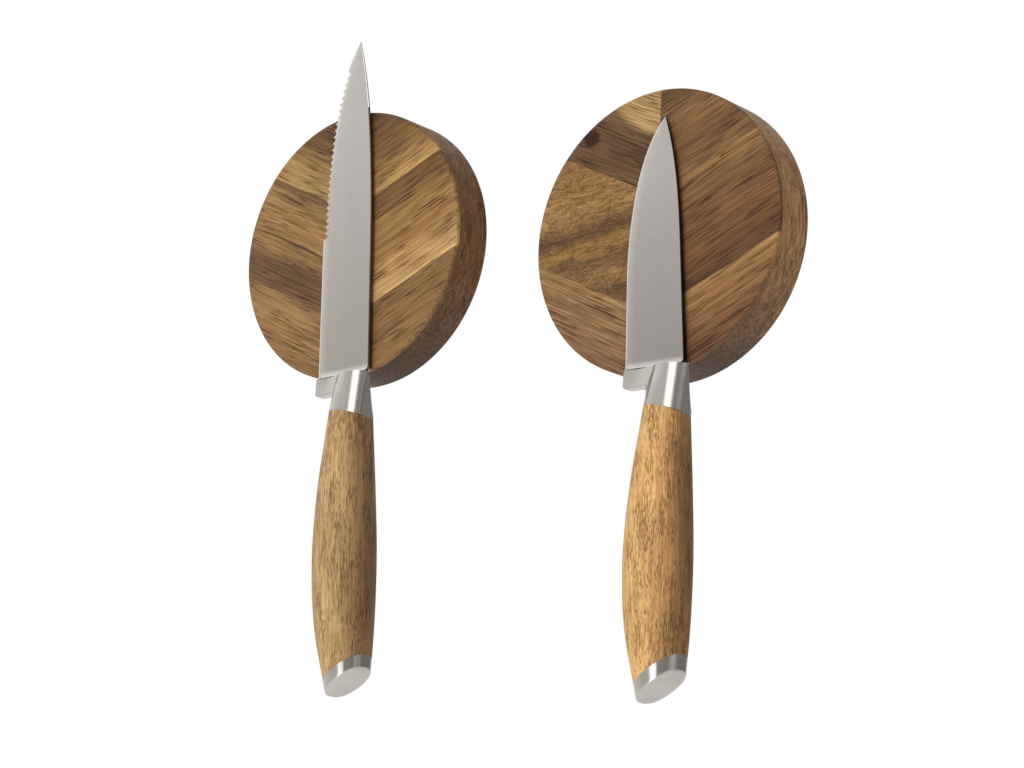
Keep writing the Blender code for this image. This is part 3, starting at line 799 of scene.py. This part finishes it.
def make_screw_tree():
    """Countersunk screws on a circle, each turned its own way, heads up along +Z."""
    tree, given, out = new_geometry_tree("screw_circle", {
        "Count": 4, "Circle": 0.035, "Head": 0.0028, "Shank": 0.0013, "Length": 0.009,
        "Slot": 0.0005, "Seed": 3, "Finish": None,
    })
    circle = put(tree, "GeometryNodeMeshCircle", {"Vertices": given["Count"], "Radius": given["Circle"]})
    cone_length = math_of(tree, "SUBTRACT", given["Head"], given["Shank"])
    head = put(tree, "GeometryNodeMeshCone", {
        "Vertices": 40, "Radius Top": given["Shank"], "Radius Bottom": given["Head"],
        "Depth": cone_length, "Side Segments": 2,
    }).outputs["Mesh"]
    shank = put(tree, "GeometryNodeMeshCylinder", {
        "Vertices": 40, "Radius": given["Shank"], "Depth": given["Length"],
    }).outputs["Mesh"]
    half = math_of(tree, "MULTIPLY", given["Length"], 0.5)
    placed = put(tree, "GeometryNodeTransform", {
        "Geometry": shank, "Translation": joined(tree, z=half),
    }).outputs[0]
    arm = math_of(tree, "MULTIPLY", given["Head"], 1.1)
    deep = math_of(tree, "MULTIPLY", cone_length, 1.1)
    body = put(tree, "GeometryNodeMeshBoolean", operation="UNION", solver="EXACT")
    for part in (head, placed):
        tree.links.new(part, body.inputs["Mesh 2"])
    cut = put(
        tree, "GeometryNodeMeshBoolean", {"Mesh 1": body.outputs[0]}, operation="DIFFERENCE", solver="EXACT"
    )
    for sides in ((arm, given["Slot"], deep), (given["Slot"], arm, deep)):
        arm_of_cross = put(tree, "GeometryNodeMeshCube", {"Size": joined(tree, *sides)})
        tree.links.new(arm_of_cross.outputs["Mesh"], cut.inputs["Mesh 2"])
    turn = put(tree, "FunctionNodeRandomValue", {3: math.pi, "Seed": given["Seed"]}, data_type="FLOAT")
    copies = put(tree, "GeometryNodeInstanceOnPoints", {
        "Points": circle.outputs[0], "Instance": cut.outputs[0],
        "Rotation": joined(tree, z=turn.outputs[1]),
    }).outputs[0]
    return finish_tree(tree, copies, given["Finish"], out)


def make_magnet_tree():
    """A centre magnet and a ring of others, each a disc with chamfered rims, axes along +Z."""
    tree, given, out = new_geometry_tree("magnet_cross", {
        "Count": 4, "Circle": 0.025, "Radius": 0.009, "Thickness": 0.010, "Chamfer": 0.0006,
        "Finish": None,
    })
    ring = put(tree, "GeometryNodeMeshCircle", {"Vertices": given["Count"], "Radius": given["Circle"]})
    middle = put(tree, "GeometryNodeMeshLine", {"Count": 1})
    points = put(tree, "GeometryNodeJoinGeometry")
    for part in (ring, middle):
        tree.links.new(part.outputs[0], points.inputs[0])
    inner = math_of(tree, "SUBTRACT", given["Radius"], given["Chamfer"])
    half = math_of(tree, "MULTIPLY", given["Thickness"], 0.5)
    body = put(tree, "GeometryNodeMeshCylinder", {
        "Vertices": 64, "Radius": given["Radius"], "Depth": given["Thickness"], "Side Segments": 3,
    })
    place = put(tree, "GeometryNodeInputPosition").outputs[0]
    parts = parts_of(tree, place)
    top = math_of(tree, "ABSOLUTE", parts["Z"])
    is_end = put(tree, "FunctionNodeCompare", {0: top, 1: math_of(tree, "MULTIPLY", half, 0.9)})
    shrink = math_of(tree, "DIVIDE", inner, given["Radius"])
    small = vector_of(tree, "MULTIPLY", place, joined(tree, shrink, shrink, 1.0))
    near = math_of(tree, "SUBTRACT", half, given["Chamfer"])
    level = math_of(tree, "MULTIPLY", math_of(tree, "SIGN", parts["Z"]), near)
    waist = joined(tree, parts["X"], parts["Y"], level)
    chosen = put(
        tree, "GeometryNodeSwitch", {0: is_end.outputs[0], 1: waist, 2: small}, input_type="VECTOR"
    )
    shaped = put(tree, "GeometryNodeSetPosition", {
        "Geometry": body.outputs["Mesh"], "Position": chosen.outputs[0],
    }).outputs[0]
    copies = put(tree, "GeometryNodeInstanceOnPoints", {"Points": points.outputs[0], "Instance": shaped})
    return finish_tree(tree, copies.outputs[0], given["Finish"], out)


def make_scallop_tree():
    """Moves a blade's edge inwards in equal round scallops. The blade lies along +Z, its spine
    towards +X, and the point attribute "honed" says how far each point follows the edge."""
    tree, given, out = new_geometry_tree("scalloped_edge", {
        "Start": 0.05, "End": 0.11, "Count": 26, "Depth": 0.0008, "Setback": 0.0002, "Finish": None,
    })
    position = put(tree, "GeometryNodeInputPosition").outputs[0]
    above = math_of(tree, "SUBTRACT", parts_of(tree, position)["Z"], given["Start"])
    run = math_of(tree, "SUBTRACT", given["End"], given["Start"])
    share = math_of(tree, "DIVIDE", above, run)
    turns = math_of(tree, "FRACT", math_of(tree, "MULTIPLY", share, given["Count"]))
    centred = math_of(tree, "SUBTRACT", math_of(tree, "MULTIPLY", turns, 2.0), 1.0)
    bowl = math_of(tree, "SUBTRACT", 1.0, math_of(tree, "MULTIPLY", centred, centred))
    deep = math_of(tree, "ADD", math_of(tree, "MULTIPLY", bowl, given["Depth"]), given["Setback"])
    low, high = math_of(tree, "GREATER_THAN", share, 0.0), math_of(tree, "LESS_THAN", share, 1.0)
    inside = math_of(tree, "MULTIPLY", low, high)
    honed = put(tree, "GeometryNodeInputNamedAttribute", {"Name": "honed"}, data_type="FLOAT").outputs[0]
    move = math_of(tree, "MULTIPLY", math_of(tree, "MULTIPLY", deep, inside), honed)
    shaped = put(tree, "GeometryNodeSetPosition", {
        "Geometry": given["Geometry"], "Offset": joined(tree, move),
    }).outputs[0]
    return finish_tree(tree, shaped, given["Finish"], out)


def place_in_mesh(piece, matrix, smooth=SMOOTH):
    """Moves a piece by its vertices, so that its object stays at the origin."""
    piece.data.transform(matrix)
    piece.data.shade_smooth()
    piece.data.set_sharp_from_angle(angle=math.radians(smooth))


def make_hardware(holder, screw_tree, magnet_tree, finishes):
    """Magnets and plate screws behind the disc, all turned to face the wall."""
    centre = DISCS[holder]
    face_wall = Matrix.Rotation(math.pi / 2, 4, "X")
    low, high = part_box(f"{holder}_plate_screw_1")
    screws = new_piece(f"{holder}_plate_screws", bmesh.new(), [])
    run_tree(screws, screw_tree, {
        "Circle": math.hypot((low[0] + high[0]) / 2 - centre.x, (low[2] + high[2]) / 2 - centre.z),
        "Length": high[1] - low[1], "Head": SCREW_HEAD, "Finish": finishes["screw"],
    })
    turn = Matrix.Rotation(math.pi / 4, 4, "Z")
    place_in_mesh(screws, Matrix.Translation((centre.x, high[1], centre.z)) @ face_wall @ turn)
    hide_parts(*[f"{holder}_plate_screw_{i}" for i in range(1, 5)])
    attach(screws, "holders")
    low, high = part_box(f"{holder}_magnet_top")
    magnets = new_piece(f"{holder}_magnets", bmesh.new(), [])
    run_tree(magnets, magnet_tree, {
        "Circle": (low[2] + high[2]) / 2 - centre.z, "Radius": (high[0] - low[0]) / 2,
        "Thickness": high[1] - low[1], "Finish": finishes["magnet"],
    })
    middle = Matrix.Translation((centre.x, (low[1] + high[1]) / 2, centre.z))
    place_in_mesh(magnets, middle @ face_wall)
    places = ("centre", "top", "bottom", "left", "right")
    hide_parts(*[f"{holder}_magnet_{place}" for place in places])
    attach(magnets, "holders")


def make_holders():
    screw_tree, magnet_tree = make_screw_tree(), make_magnet_tree()
    pad_foam = foam("closed_cell_foam")
    zinc = hardware_steel("zinc_plate", ("8d8f92", "a9abad"), 0.38, 0.3)
    finishes = {
        "screw": hardware_steel("zinc_screws", ("97989a", "b4b5b7"), 0.30, 0.1),
        "magnet": hardware_steel("nickel_magnets", ("7d7c7a", "959390"), 0.28, 0.2),
    }
    for holder in ("left", "right"):
        make_core(holder)
        for flank in ("left", "right"):
            for index, level in enumerate(("lower", "middle", "upper")):
                make_stave(holder, level, index, flank)
        make_pad(holder, pad_foam)
        make_hardware(holder, screw_tree, magnet_tree, finishes)
        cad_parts[f"{holder}_back_plate"].material_slots[0].material = zinc


# Steel of the knives --------------------------------------------------------------------


def knife_place(knife):
    """Matrix from a knife's own frame to the world."""
    disc = DISCS[knife["holder"]]
    foot = Vector((
        disc.x + knife["across"],
        FACE_Y - BLADE_GAP - BLADE_HALF,
        disc.z - DISC_RADIUS + knife["rim"],
    ))
    return Matrix.Translation(foot) @ Matrix.Rotation(-math.radians(knife["lean"]), 4, "Y")


def knife_space(tree, knife):
    """Millimetres in the knife's own frame."""
    place = knife_place(knife).inverted()
    return millimetres(tree, tuple(place.to_euler()), 1000 * place.translation)


def blade_steel(name, knife):
    """Satin blade: grinding lines across it, with a painted highlight along the honed edge and another at
    the foot.
    """
    material, tree, shader = new_material(name)
    space = knife_space(tree, knife)
    lines = use_group(tree, BRUSH, {"Vector": space, "Line Width": 0.10, "Line Length": 7.0})
    # Lighter towards the tip: the tones ramp from the foot to most of the way up, as painted light.
    height = parts_of(tree, space)["Z"]
    share = spread(tree, height, 0.0, knife["tip"][1] * 800)
    tone = ramp(tree, share, [(i / 2, srgb(tone)) for i, tone in enumerate(knife["steel"])])
    shade = spread(tree, lines["Lines"], 0.3, 0.7, 0.94, 1.05)
    colour = tinted(tree, tone, colour_of(tree, shade, shade, shade))
    # Painted highlight: the honed edge and the foot, where the blade thickens into the bolster, are mixed
    # towards near white.
    honed = put(tree, "ShaderNodeAttribute", attribute_name="honed").outputs["Fac"]
    foot = spread(tree, height, 0.2, RAMP_LENGTH * 1000, 0.55, 0.0)
    painted_highlight = math_of(tree, "MAXIMUM", spread(tree, honed, 0.76, 0.95, 0.0, 0.5), foot)
    feed(tree, shader, {
        "Base Color": blend(tree, "MIX", painted_highlight, colour, srgb("f4f1ec")), "Metallic": 1.0,
        "Roughness": spread(tree, lines["Lines"], 0.3, 0.7, 0.25, 0.32),
        "Normal": bumped(tree, lines["Lines"], 0.1, 0.00001),
    })
    return material


# Blades ---------------------------------------------------------------------------------


def outline_x(side, tip, z):
    """X of a blade's edge or spine at height z: straight, then one cubic curve to the tip."""
    foot, start_x, start_z, reach, (back_x, back_z) = side
    if z <= start_z:
        return foot + (start_x - foot) * z / start_z
    lean = (start_x - foot) / start_z
    run = (
        Vector((start_x, start_z)),
        Vector((start_x + lean * reach, start_z + reach)),
        Vector((tip[0] - back_x, tip[1] - back_z)),
        Vector(tip),
    )
    low, high = 0.0, 1.0
    for _ in range(40):
        t = (low + high) / 2
        s = 1 - t
        point = run[0] * s**3 + run[1] * 3 * s * s * t + run[2] * 3 * s * t * t + run[3] * t**3
        low, high = (t, high) if point.y < z else (low, t)
    return point.x


def blade_heights(knife):
    """Heights of the blade's sections: close together at the foot, the tip and the scallops."""
    length = knife["tip"][1]
    top = length - TIP_CUT
    heights = {RAMP_LENGTH * i / 10 for i in range(11)}
    heights |= {RAMP_LENGTH + (top - RAMP_LENGTH) * math.sin(math.pi / 2 * i / 90) for i in range(91)}
    if knife["scallops"]:
        start, end, count = (knife["scallops"][key] for key in ("Start", "End", "Count"))
        tooth = (end - start) / count
        heights = {z for z in heights if z < start - tooth / 4 or z > end + tooth / 4}
        parts = (0.01, 0.1, 0.2, 0.35, 0.5, 0.65, 0.8, 0.9, 0.99)
        heights |= {start + tooth * (i + part) for i in range(count) for part in parts}
        heights |= {start - tooth / 50, end + tooth / 50}
    return sorted(heights)


def blade_section(knife, z):
    """Points round the blade at height z as (x, y, honed), from the edge up the front face
    to the spine and down the back."""
    tip = knife["tip"]
    spine = outline_x(knife["spine"], tip, z)
    low = max(1 - z / FOOT_CORNER, 0)
    spine -= FOOT_CORNER * (1 - math.sqrt(1 - low * low))
    edge = min(outline_x(knife["edge"], tip, z), spine - TIP_WIDTH)
    width = spine - edge
    share = z / tip[1]
    half = BLADE_HALF + (TIP_HALF - BLADE_HALF) * share * share
    rise = RAMP_RISE * max(1 - z / RAMP_LENGTH, 0) ** 2.2
    bevel = min(BEVEL_WIDTH, width * 0.5)
    honed = min(HONED_WIDTH, width * 0.2)
    chamfer = min(SPINE_CHAMFER, width * 0.1, half * 0.4)
    columns = [
        (edge, EDGE_HALF, 1.0),
        (edge + honed, half * 0.34, 0.75),
        (edge + bevel * 0.6, half * 0.80, 0.12),
        (edge + bevel, half, 0.0),
        (edge + bevel + (width - bevel) * 0.5, half, 0.0),
        (spine - chamfer, half, 0.0),
        (spine, half - chamfer, 0.0),
    ]
    front = [(x, -y - rise, follow) for x, y, follow in columns]
    back = [(x, y + rise * 0.3, follow) for x, y, follow in reversed(columns)]
    return front + back


def tang_mesh(gap, low_z, high_z):
    """Box round the tang, with a gap at its sides."""
    low_x, high_x, half = TANG
    return box_mesh((low_x - gap, -half - gap, low_z), (high_x + gap, half + gap, high_z))


def make_blade(name, knife, place, scallop_tree):
    finish = blade_steel(f"satin_steel_{name}", knife)
    heights = blade_heights(knife)
    sections = [blade_section(knife, z) for z in heights]
    mesh = loft([[(x, y, z) for x, y, _ in ring] for ring, z in zip(sections, heights)])
    blade = new_piece(f"{name}_steel_blade", mesh, [finish], BLADE_SMOOTH)
    honed = blade.data.attributes.new("honed", "FLOAT", "POINT")
    honed.data.foreach_set("value", [value for ring in sections for _, _, value in ring])
    if knife["scallops"]:
        run_tree(blade, scallop_tree, {**knife["scallops"], "Finish": finish})
    combine(blade, [(tang_mesh(0, -TANG_LENGTH, 2 * TANG[2]), "UNION")])
    # The spine side where it lies over the disc gets darker steel of its own. This is painted shade,
    # standing for the shadow and the dark reflection of the wood there.
    blade.data.materials.append(fitting_steel(f"dark_spine_{name}", knife, knife["spine_painted_shade"], 0.4))
    for polygon in blade.data.polygons:
        on_disc = 0 < polygon.center.z < 2 * DISC_RADIUS
        polygon.material_index = int(on_disc and polygon.normal.x > 0.5)
    place_in_mesh(blade, place, BLADE_SMOOTH)
    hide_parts(f"{name}_blade")
    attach(blade, f"{name}_knife")


# Handles --------------------------------------------------------------------------------


def oval_point(i, low, high, half):
    """X and Y of point i round a squared ellipse between X = low and X = high."""
    a = 2 * math.pi * (i + 0.5) / RING_POINTS
    c, s = (math.copysign(abs(v) ** (2 / HANDLE_POWER), v) for v in (math.cos(a), math.sin(a)))
    return (low + high) / 2 + (high - low) / 2 * c, half * s


def handle_size(knife, z):
    along = (z - BOLSTER_LENGTH) / knife["handle"]
    return [hermite([(row[0], row[i]) for row in HANDLE_STATIONS], along) for i in (1, 2, 3)]


def handle_point(knife, i, depth_of, inset=0.0):
    """Point i of a ring on the handle's surface, whose depth follows from its X and Y."""
    z = BOLSTER_LENGTH
    for _ in range(6):
        low, high, half = handle_size(knife, z)
        x, y = oval_point(i, low + inset, high - inset, half - inset)
        z = depth_of(x, y)
    return x, y, -z


def joint_ring(knife, gap):
    """Where bolster and handle meet, with a gap below it."""
    _, _, spine, half = HANDLE_STATIONS[0]

    def depth_of(x, y):
        return BOLSTER_LENGTH + gap - JOINT_SLOPE * (spine - x) - JOINT_ARCH * (y / half) ** 2

    return [handle_point(knife, i, depth_of) for i in range(RING_POINTS)]


def slanted_ring(knife, end, joint, share=1.0, inset=0.0):
    """Ring at a share of the way from the joint with the bolster to a slanted end."""
    def point(i, top):
        def depth_of(x, _):
            return -top + (end + knife["slant"] * x + top) * share

        return handle_point(knife, i, depth_of, inset)

    return [point(i, top) for i, (_, _, top) in enumerate(joint)]


def neck_rings(knife):
    """Bolster from its thin lip at the blade to the handle's oval, with a flat spine side."""
    joint = joint_ring(knife, 0)
    _, left, right, _ = HANDLE_STATIONS[0]
    middle, wide = (left + right) / 2, (right - left) / 2
    lip_middle, lip_wide = (NECK_EDGE + BOLSTER_SPINE) / 2, (BOLSTER_SPINE - NECK_EDGE) / 2
    lip = []
    for x, y, _ in joint:
        share = max(min((x - middle) / wide, 1), -1)
        thick = (1 - abs(share) ** LIP_POWER) ** (1 / LIP_POWER)
        lip.append((lip_middle + lip_wide * share, math.copysign(BOLSTER_HALF * thick, y)))
    rings = [[(x, y, -SEAM) for x, y in lip]]
    for step in range(NECK_STEPS + 1):
        rise = (step / NECK_STEPS) ** 1.2
        spine = BOLSTER_SPINE + (right - BOLSTER_SPINE) * rise - SPINE_FLAT
        ring = []
        for (x0, y0), (x1, y1, z1) in zip(lip, joint):
            wider = x1 + (x1 - middle) * SPINE_FULLNESS if x1 > middle else x1
            x = x0 + (wider - x0) * rise**1.6
            if y1 < 0:
                share = (x1 - middle) / wide
                drop = NECK_DROP + NECK_HOLLOW * max(NECK_CREST - share, 0) ** 1.5
                round_front = y1 + drop * (1 - rise)
                thin_lip = y0 + (y1 - y0) * rise**4
                soft = NECK_SOFT * (1 - rise)
                y = (round_front + thin_lip - math.hypot(round_front - thin_lip, soft)) / 2
            else:
                y = y0 + (y1 - y0) * rise**BACK_SWELL
            ring.append((min(x, spine), y, -BOLSTER_FLAT + (z1 + BOLSTER_FLAT) * rise))
        rings.append(ring)
    return rings


def heel_rings(knife):
    """Heel tab towards the cutting edge, its lower corner rounded."""
    depths = [SEAM, BOLSTER_FLAT] + [
        HEEL_LENGTH - HEEL_CORNER + HEEL_CORNER * math.sin(math.pi / 2 * i / 10) for i in range(11)
    ]
    rings = []
    for z in depths:
        rise = max(z - BOLSTER_FLAT, 0) / (HEEL_LENGTH - BOLSTER_FLAT)
        half = BOLSTER_HALF + (HEEL_HALF - BOLSTER_HALF) * rise**1.5 - HEEL_INSET
        over = min(max(z - (HEEL_LENGTH - HEEL_CORNER), 0) / HEEL_CORNER, 1)
        left = knife["heel"] + HEEL_CORNER * (1 - math.sqrt(1 - over * over))
        soft = half * HEEL_EASE
        corner = [
            (left + soft * (1 - math.cos(a)), half - soft * (1 - math.sin(a)))
            for a in (math.pi / 2 * i / 4 for i in range(5))
        ]
        crest = HEEL_CREST + HEEL_RISE * rise if z > SEAM else half
        start = left + HEEL_FLAT
        hill = [
            (start + (HEEL_REACH - start) * share, half + (crest - half) * share**HEEL_POWER)
            for share in (i / 8 for i in range(9))
        ]
        back = corner + [(start, half + rise * HEEL_BULGE), (HEEL_REACH, half + rise * HEEL_SWELL)]
        front = corner + hill
        rings.append([(x, y, -z) for x, y in back] + [(x, -y, -z) for x, y in reversed(front)])
    return rings


def make_bolster(name, knife, place):
    finish = fitting_steel(f"polished_bolster_{name}", knife, ("b2ada6", "c3beb7"), 0.24)
    bolster = new_piece(f"{name}_steel_bolster", loft(neck_rings(knife)), [finish], BOLSTER_SMOOTH)
    slot = tang_mesh(SEAT_GAP, -TANG_LENGTH, SEAT_GAP)
    combine(bolster, [(loft(heel_rings(knife)), "UNION"), (slot, "DIFFERENCE")])
    place_in_mesh(bolster, place, BOLSTER_SMOOTH)
    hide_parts(f"{name}_bolster")
    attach(bolster, f"{name}_knife")


def boss_mesh(knife, cap_top, gap):
    low, high, _ = handle_size(knife, cap_top)
    middle = (low + high) / 2
    radius = BOSS_RADIUS + gap
    level = cap_top + knife["slant"] * middle
    angles = [2 * math.pi * i / 48 for i in range(48)]
    return loft([
        [(middle + radius * math.cos(a), radius * math.sin(a), -z) for a in angles]
        for z in (level - BOSS_LENGTH - gap, level + knife["cap"] / 2)
    ])


# Tones across each handle run from its spine side to its cutting side. The dark first tone darkens the
# spine side as painted shade, that side turned from the light.
HANDLES = {
    "serrated": {
        "tones": ("6c5036", "a38460", "b89971", "b89870", "ad8f69", "a58863", "a28560"),
        "grain": {"Streak Width": 0.7, "Streak Length": 26.0, "Warp": 5.0, "Pore Amount": 0.66,
                  "Pore Width": 0.11, "Pore Length": 1.5, "Shift": (5, 0, 40)},
    },
    "paring": {
        "tones": ("64462a", "b48b5c", "cfa672", "cfa774", "c7a06e", "c09a66", "bb925a"),
        "grain": {"Streak Width": 0.8, "Streak Length": 16.0, "Warp": 5.0, "Pore Amount": 0.66,
                  "Pore Width": 0.13, "Pore Length": 1.1, "Shift": (60, 0, 11)},
    },
}


def make_handle(name, knife, place):
    look = HANDLES[name]
    along = math.pi / 2 + math.radians(knife["lean"])
    finish = wood(
        f"acacia_handle_{name}", place.translation, along, -15, 15, look["tones"],
        grain=look["grain"], depth=0.34, pore_depth=0.7,
    )
    end = BOLSTER_LENGTH + knife["handle"] - knife["cap"]
    joint = joint_ring(knife, SEAT_GAP)
    rings = [slanted_ring(knife, end, joint, i / HANDLE_STEPS) for i in range(HANDLE_STEPS + 1)]
    handle = new_piece(f"{name}_wooden_handle", loft(rings), [finish])
    slot = tang_mesh(SEAT_GAP, -TANG_LENGTH - SEAT_GAP, 0)
    combine(handle, [(slot, "DIFFERENCE"), (boss_mesh(knife, end, SEAT_GAP), "DIFFERENCE")])
    place_in_mesh(handle, place)
    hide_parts(f"{name}_handle")
    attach(handle, f"{name}_knife")


def make_cap(name, knife, place):
    """Polished ring with a flat satin end."""
    side = fitting_steel(f"polished_cap_{name}", knife, ("b0aba4", "c2bdb6"), 0.20)
    end = BOLSTER_LENGTH + knife["handle"]
    joint = joint_ring(knife, 0)
    top = end - knife["cap"] + SEAT_GAP
    levels = [top + (end - CAP_ROUND - top) * i / 6 for i in range(7)]
    rings = [slanted_ring(knife, level, joint) for level in levels]
    for i in range(1, 6):
        a = math.pi / 2 * i / 5
        level, inset = end - CAP_ROUND * (1 - math.sin(a)), CAP_ROUND * (1 - math.cos(a))
        rings.append(slanted_ring(knife, level, joint, inset=inset))
    cap = new_piece(f"{name}_steel_end_cap", loft(rings), [side])
    combine(cap, [(boss_mesh(knife, end - knife["cap"], 0), "UNION")])
    # The flat end's tones are painted light: lighter than the steel of the ring, most of all on the paring
    # knife.
    face = fitting_steel(f"satin_cap_{name}", knife, knife["cap_end_painted_light"], 0.42)
    cap.data.materials.append(face)
    low = min(p.center.z for p in cap.data.polygons)
    # The flat end is the one large face down there
    for polygon in cap.data.polygons:
        if len(polygon.vertices) > 8 and polygon.normal.z < -0.3 and polygon.center.z < low * 0.97:
            polygon.material_index = 1
    place_in_mesh(cap, place)
    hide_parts(f"{name}_end_cap")
    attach(cap, f"{name}_knife")


def make_knives():
    scallop_tree = make_scallop_tree()
    for name, knife in KNIVES.items():
        place = knife_place(knife)
        make_blade(name, knife, place, scallop_tree)
        make_bolster(name, knife, place)
        make_handle(name, knife, place)
        make_cap(name, knife, place)


# Studio ---------------------------------------------------------------------------------


def direction(azimuth, elevation):
    """Unit vector away from the holders; the angles are in degrees and zero faces -Y."""
    a, e = math.radians(azimuth), math.radians(elevation)
    return Vector((math.sin(a) * math.cos(e), -math.cos(a) * math.cos(e), math.sin(e)))


def add_camera():
    """Low and to the right of the holders, rolled a little."""
    back, roll = direction(38.16, -12.59), math.radians(3.0)
    aim, distance, lens = Vector((0.0782, -0.018, -0.05945)), 1.097, 111.73
    right = (-back).cross(Vector((0, 0, 1))).normalized()
    up = right.cross(-back)
    across = math.cos(roll) * right + math.sin(roll) * up
    upright = -math.sin(roll) * right + math.cos(roll) * up
    data = bpy.data.cameras.new("camera")
    data.lens, data.sensor_width = lens, 36
    data.clip_start, data.clip_end = 0.01, 100
    camera = bpy.data.objects.new("camera", data)
    rotation = Matrix((across, upright, back)).transposed()
    camera.matrix_world = Matrix.Translation(aim + back * distance) @ rotation.to_4x4()
    bpy.context.scene.collection.objects.link(camera)
    bpy.context.scene.camera = camera


LAMP_DISTANCE = 1.8


def add_softbox(name, azimuth, elevation, size, power, target, shines=True, lights=True):
    """Rectangular lamp aimed at the target. One that shines shows in polished steel, and one
    that lights falls on matt surfaces."""
    back = direction(azimuth, elevation)
    data = bpy.data.lights.new(name, "AREA")
    data.shape = "RECTANGLE"
    data.size, data.size_y = size
    data.energy = power
    light = bpy.data.objects.new(name, data)
    light.visible_glossy = shines
    light.visible_diffuse = lights
    turn = back.to_track_quat("Z", "Y").to_matrix().to_4x4()
    light.matrix_world = Matrix.Translation(target + back * LAMP_DISTANCE) @ turn
    bpy.context.scene.collection.objects.link(light)


# Greys of the room from far left to far right, as polished steel sees them
WALL_GREYS = ((0.0, 1.0), (0.13, 0.76), (0.20, 0.67), (0.40, 0.65), (0.58, 0.28), (0.95, 0.27), (1.0, 0.70))


def add_studio():
    middle = (CAD_BOX[0] + CAD_BOX[1]) / 2
    add_softbox("key", -12, 12, (0.9, 0.9), 13.0, middle, shines=False)
    add_softbox("side", 48, 42, (0.7, 0.7), 3.2, middle, shines=False)
    add_softbox("low_panel", -5, -8, (0.8, 0.5), 2.9, middle, lights=False)
    add_softbox("high_panel", 27, 33, (1.15, 1.2), 9.5, middle, lights=False)
    world = bpy.data.worlds.new("studio")
    bpy.context.scene.world = world
    world.use_nodes = True
    tree = world.node_tree
    tree.nodes.clear()
    parts = parts_of(tree, put(tree, "ShaderNodeTexCoord").outputs["Generated"])
    share = spread(tree, parts["X"], -1.0, 1.0)
    tone = ramp(tree, share, [(place, (grey, grey, grey, 1)) for place, grey in WALL_GREYS])
    strength = spread(tree, parts["Z"], -0.5, 0.7, 0.55, 1.45)
    lit = put(tree, "ShaderNodeBackground", {"Color": tone, "Strength": strength}).outputs[0]
    seen = put(tree, "ShaderNodeBackground", {"Color": (1, 1, 1, 1), "Strength": 1.0}).outputs[0]
    camera_ray = put(tree, "ShaderNodeLightPath").outputs["Is Camera Ray"]
    mixed = put(tree, "ShaderNodeMixShader", {0: camera_ray, 1: lit, 2: seen}).outputs[0]
    put(tree, "ShaderNodeOutputWorld", {"Surface": mixed})
    bpy.context.scene.view_settings.view_transform = "Standard"


def add_floor():
    """Plain pale floor well below the holders."""
    mesh = bmesh.new()
    bmesh.ops.create_circle(mesh, cap_ends=True, segments=96, radius=14)
    bmesh.ops.translate(mesh, verts=mesh.verts, vec=(0, 0, -1.1))
    material, tree, shader = new_material("pale_floor")
    feed(tree, shader, {
        "Base Color": (0.9, 0.9, 0.89, 1), "Roughness": 0.8,
        "Emission Color": (1, 1, 1, 1), "Emission Strength": 0.3,
    })
    new_piece("floor", mesh, [material], recalc=False)


add_camera()
add_studio()
add_floor()
make_holders()
make_knives()
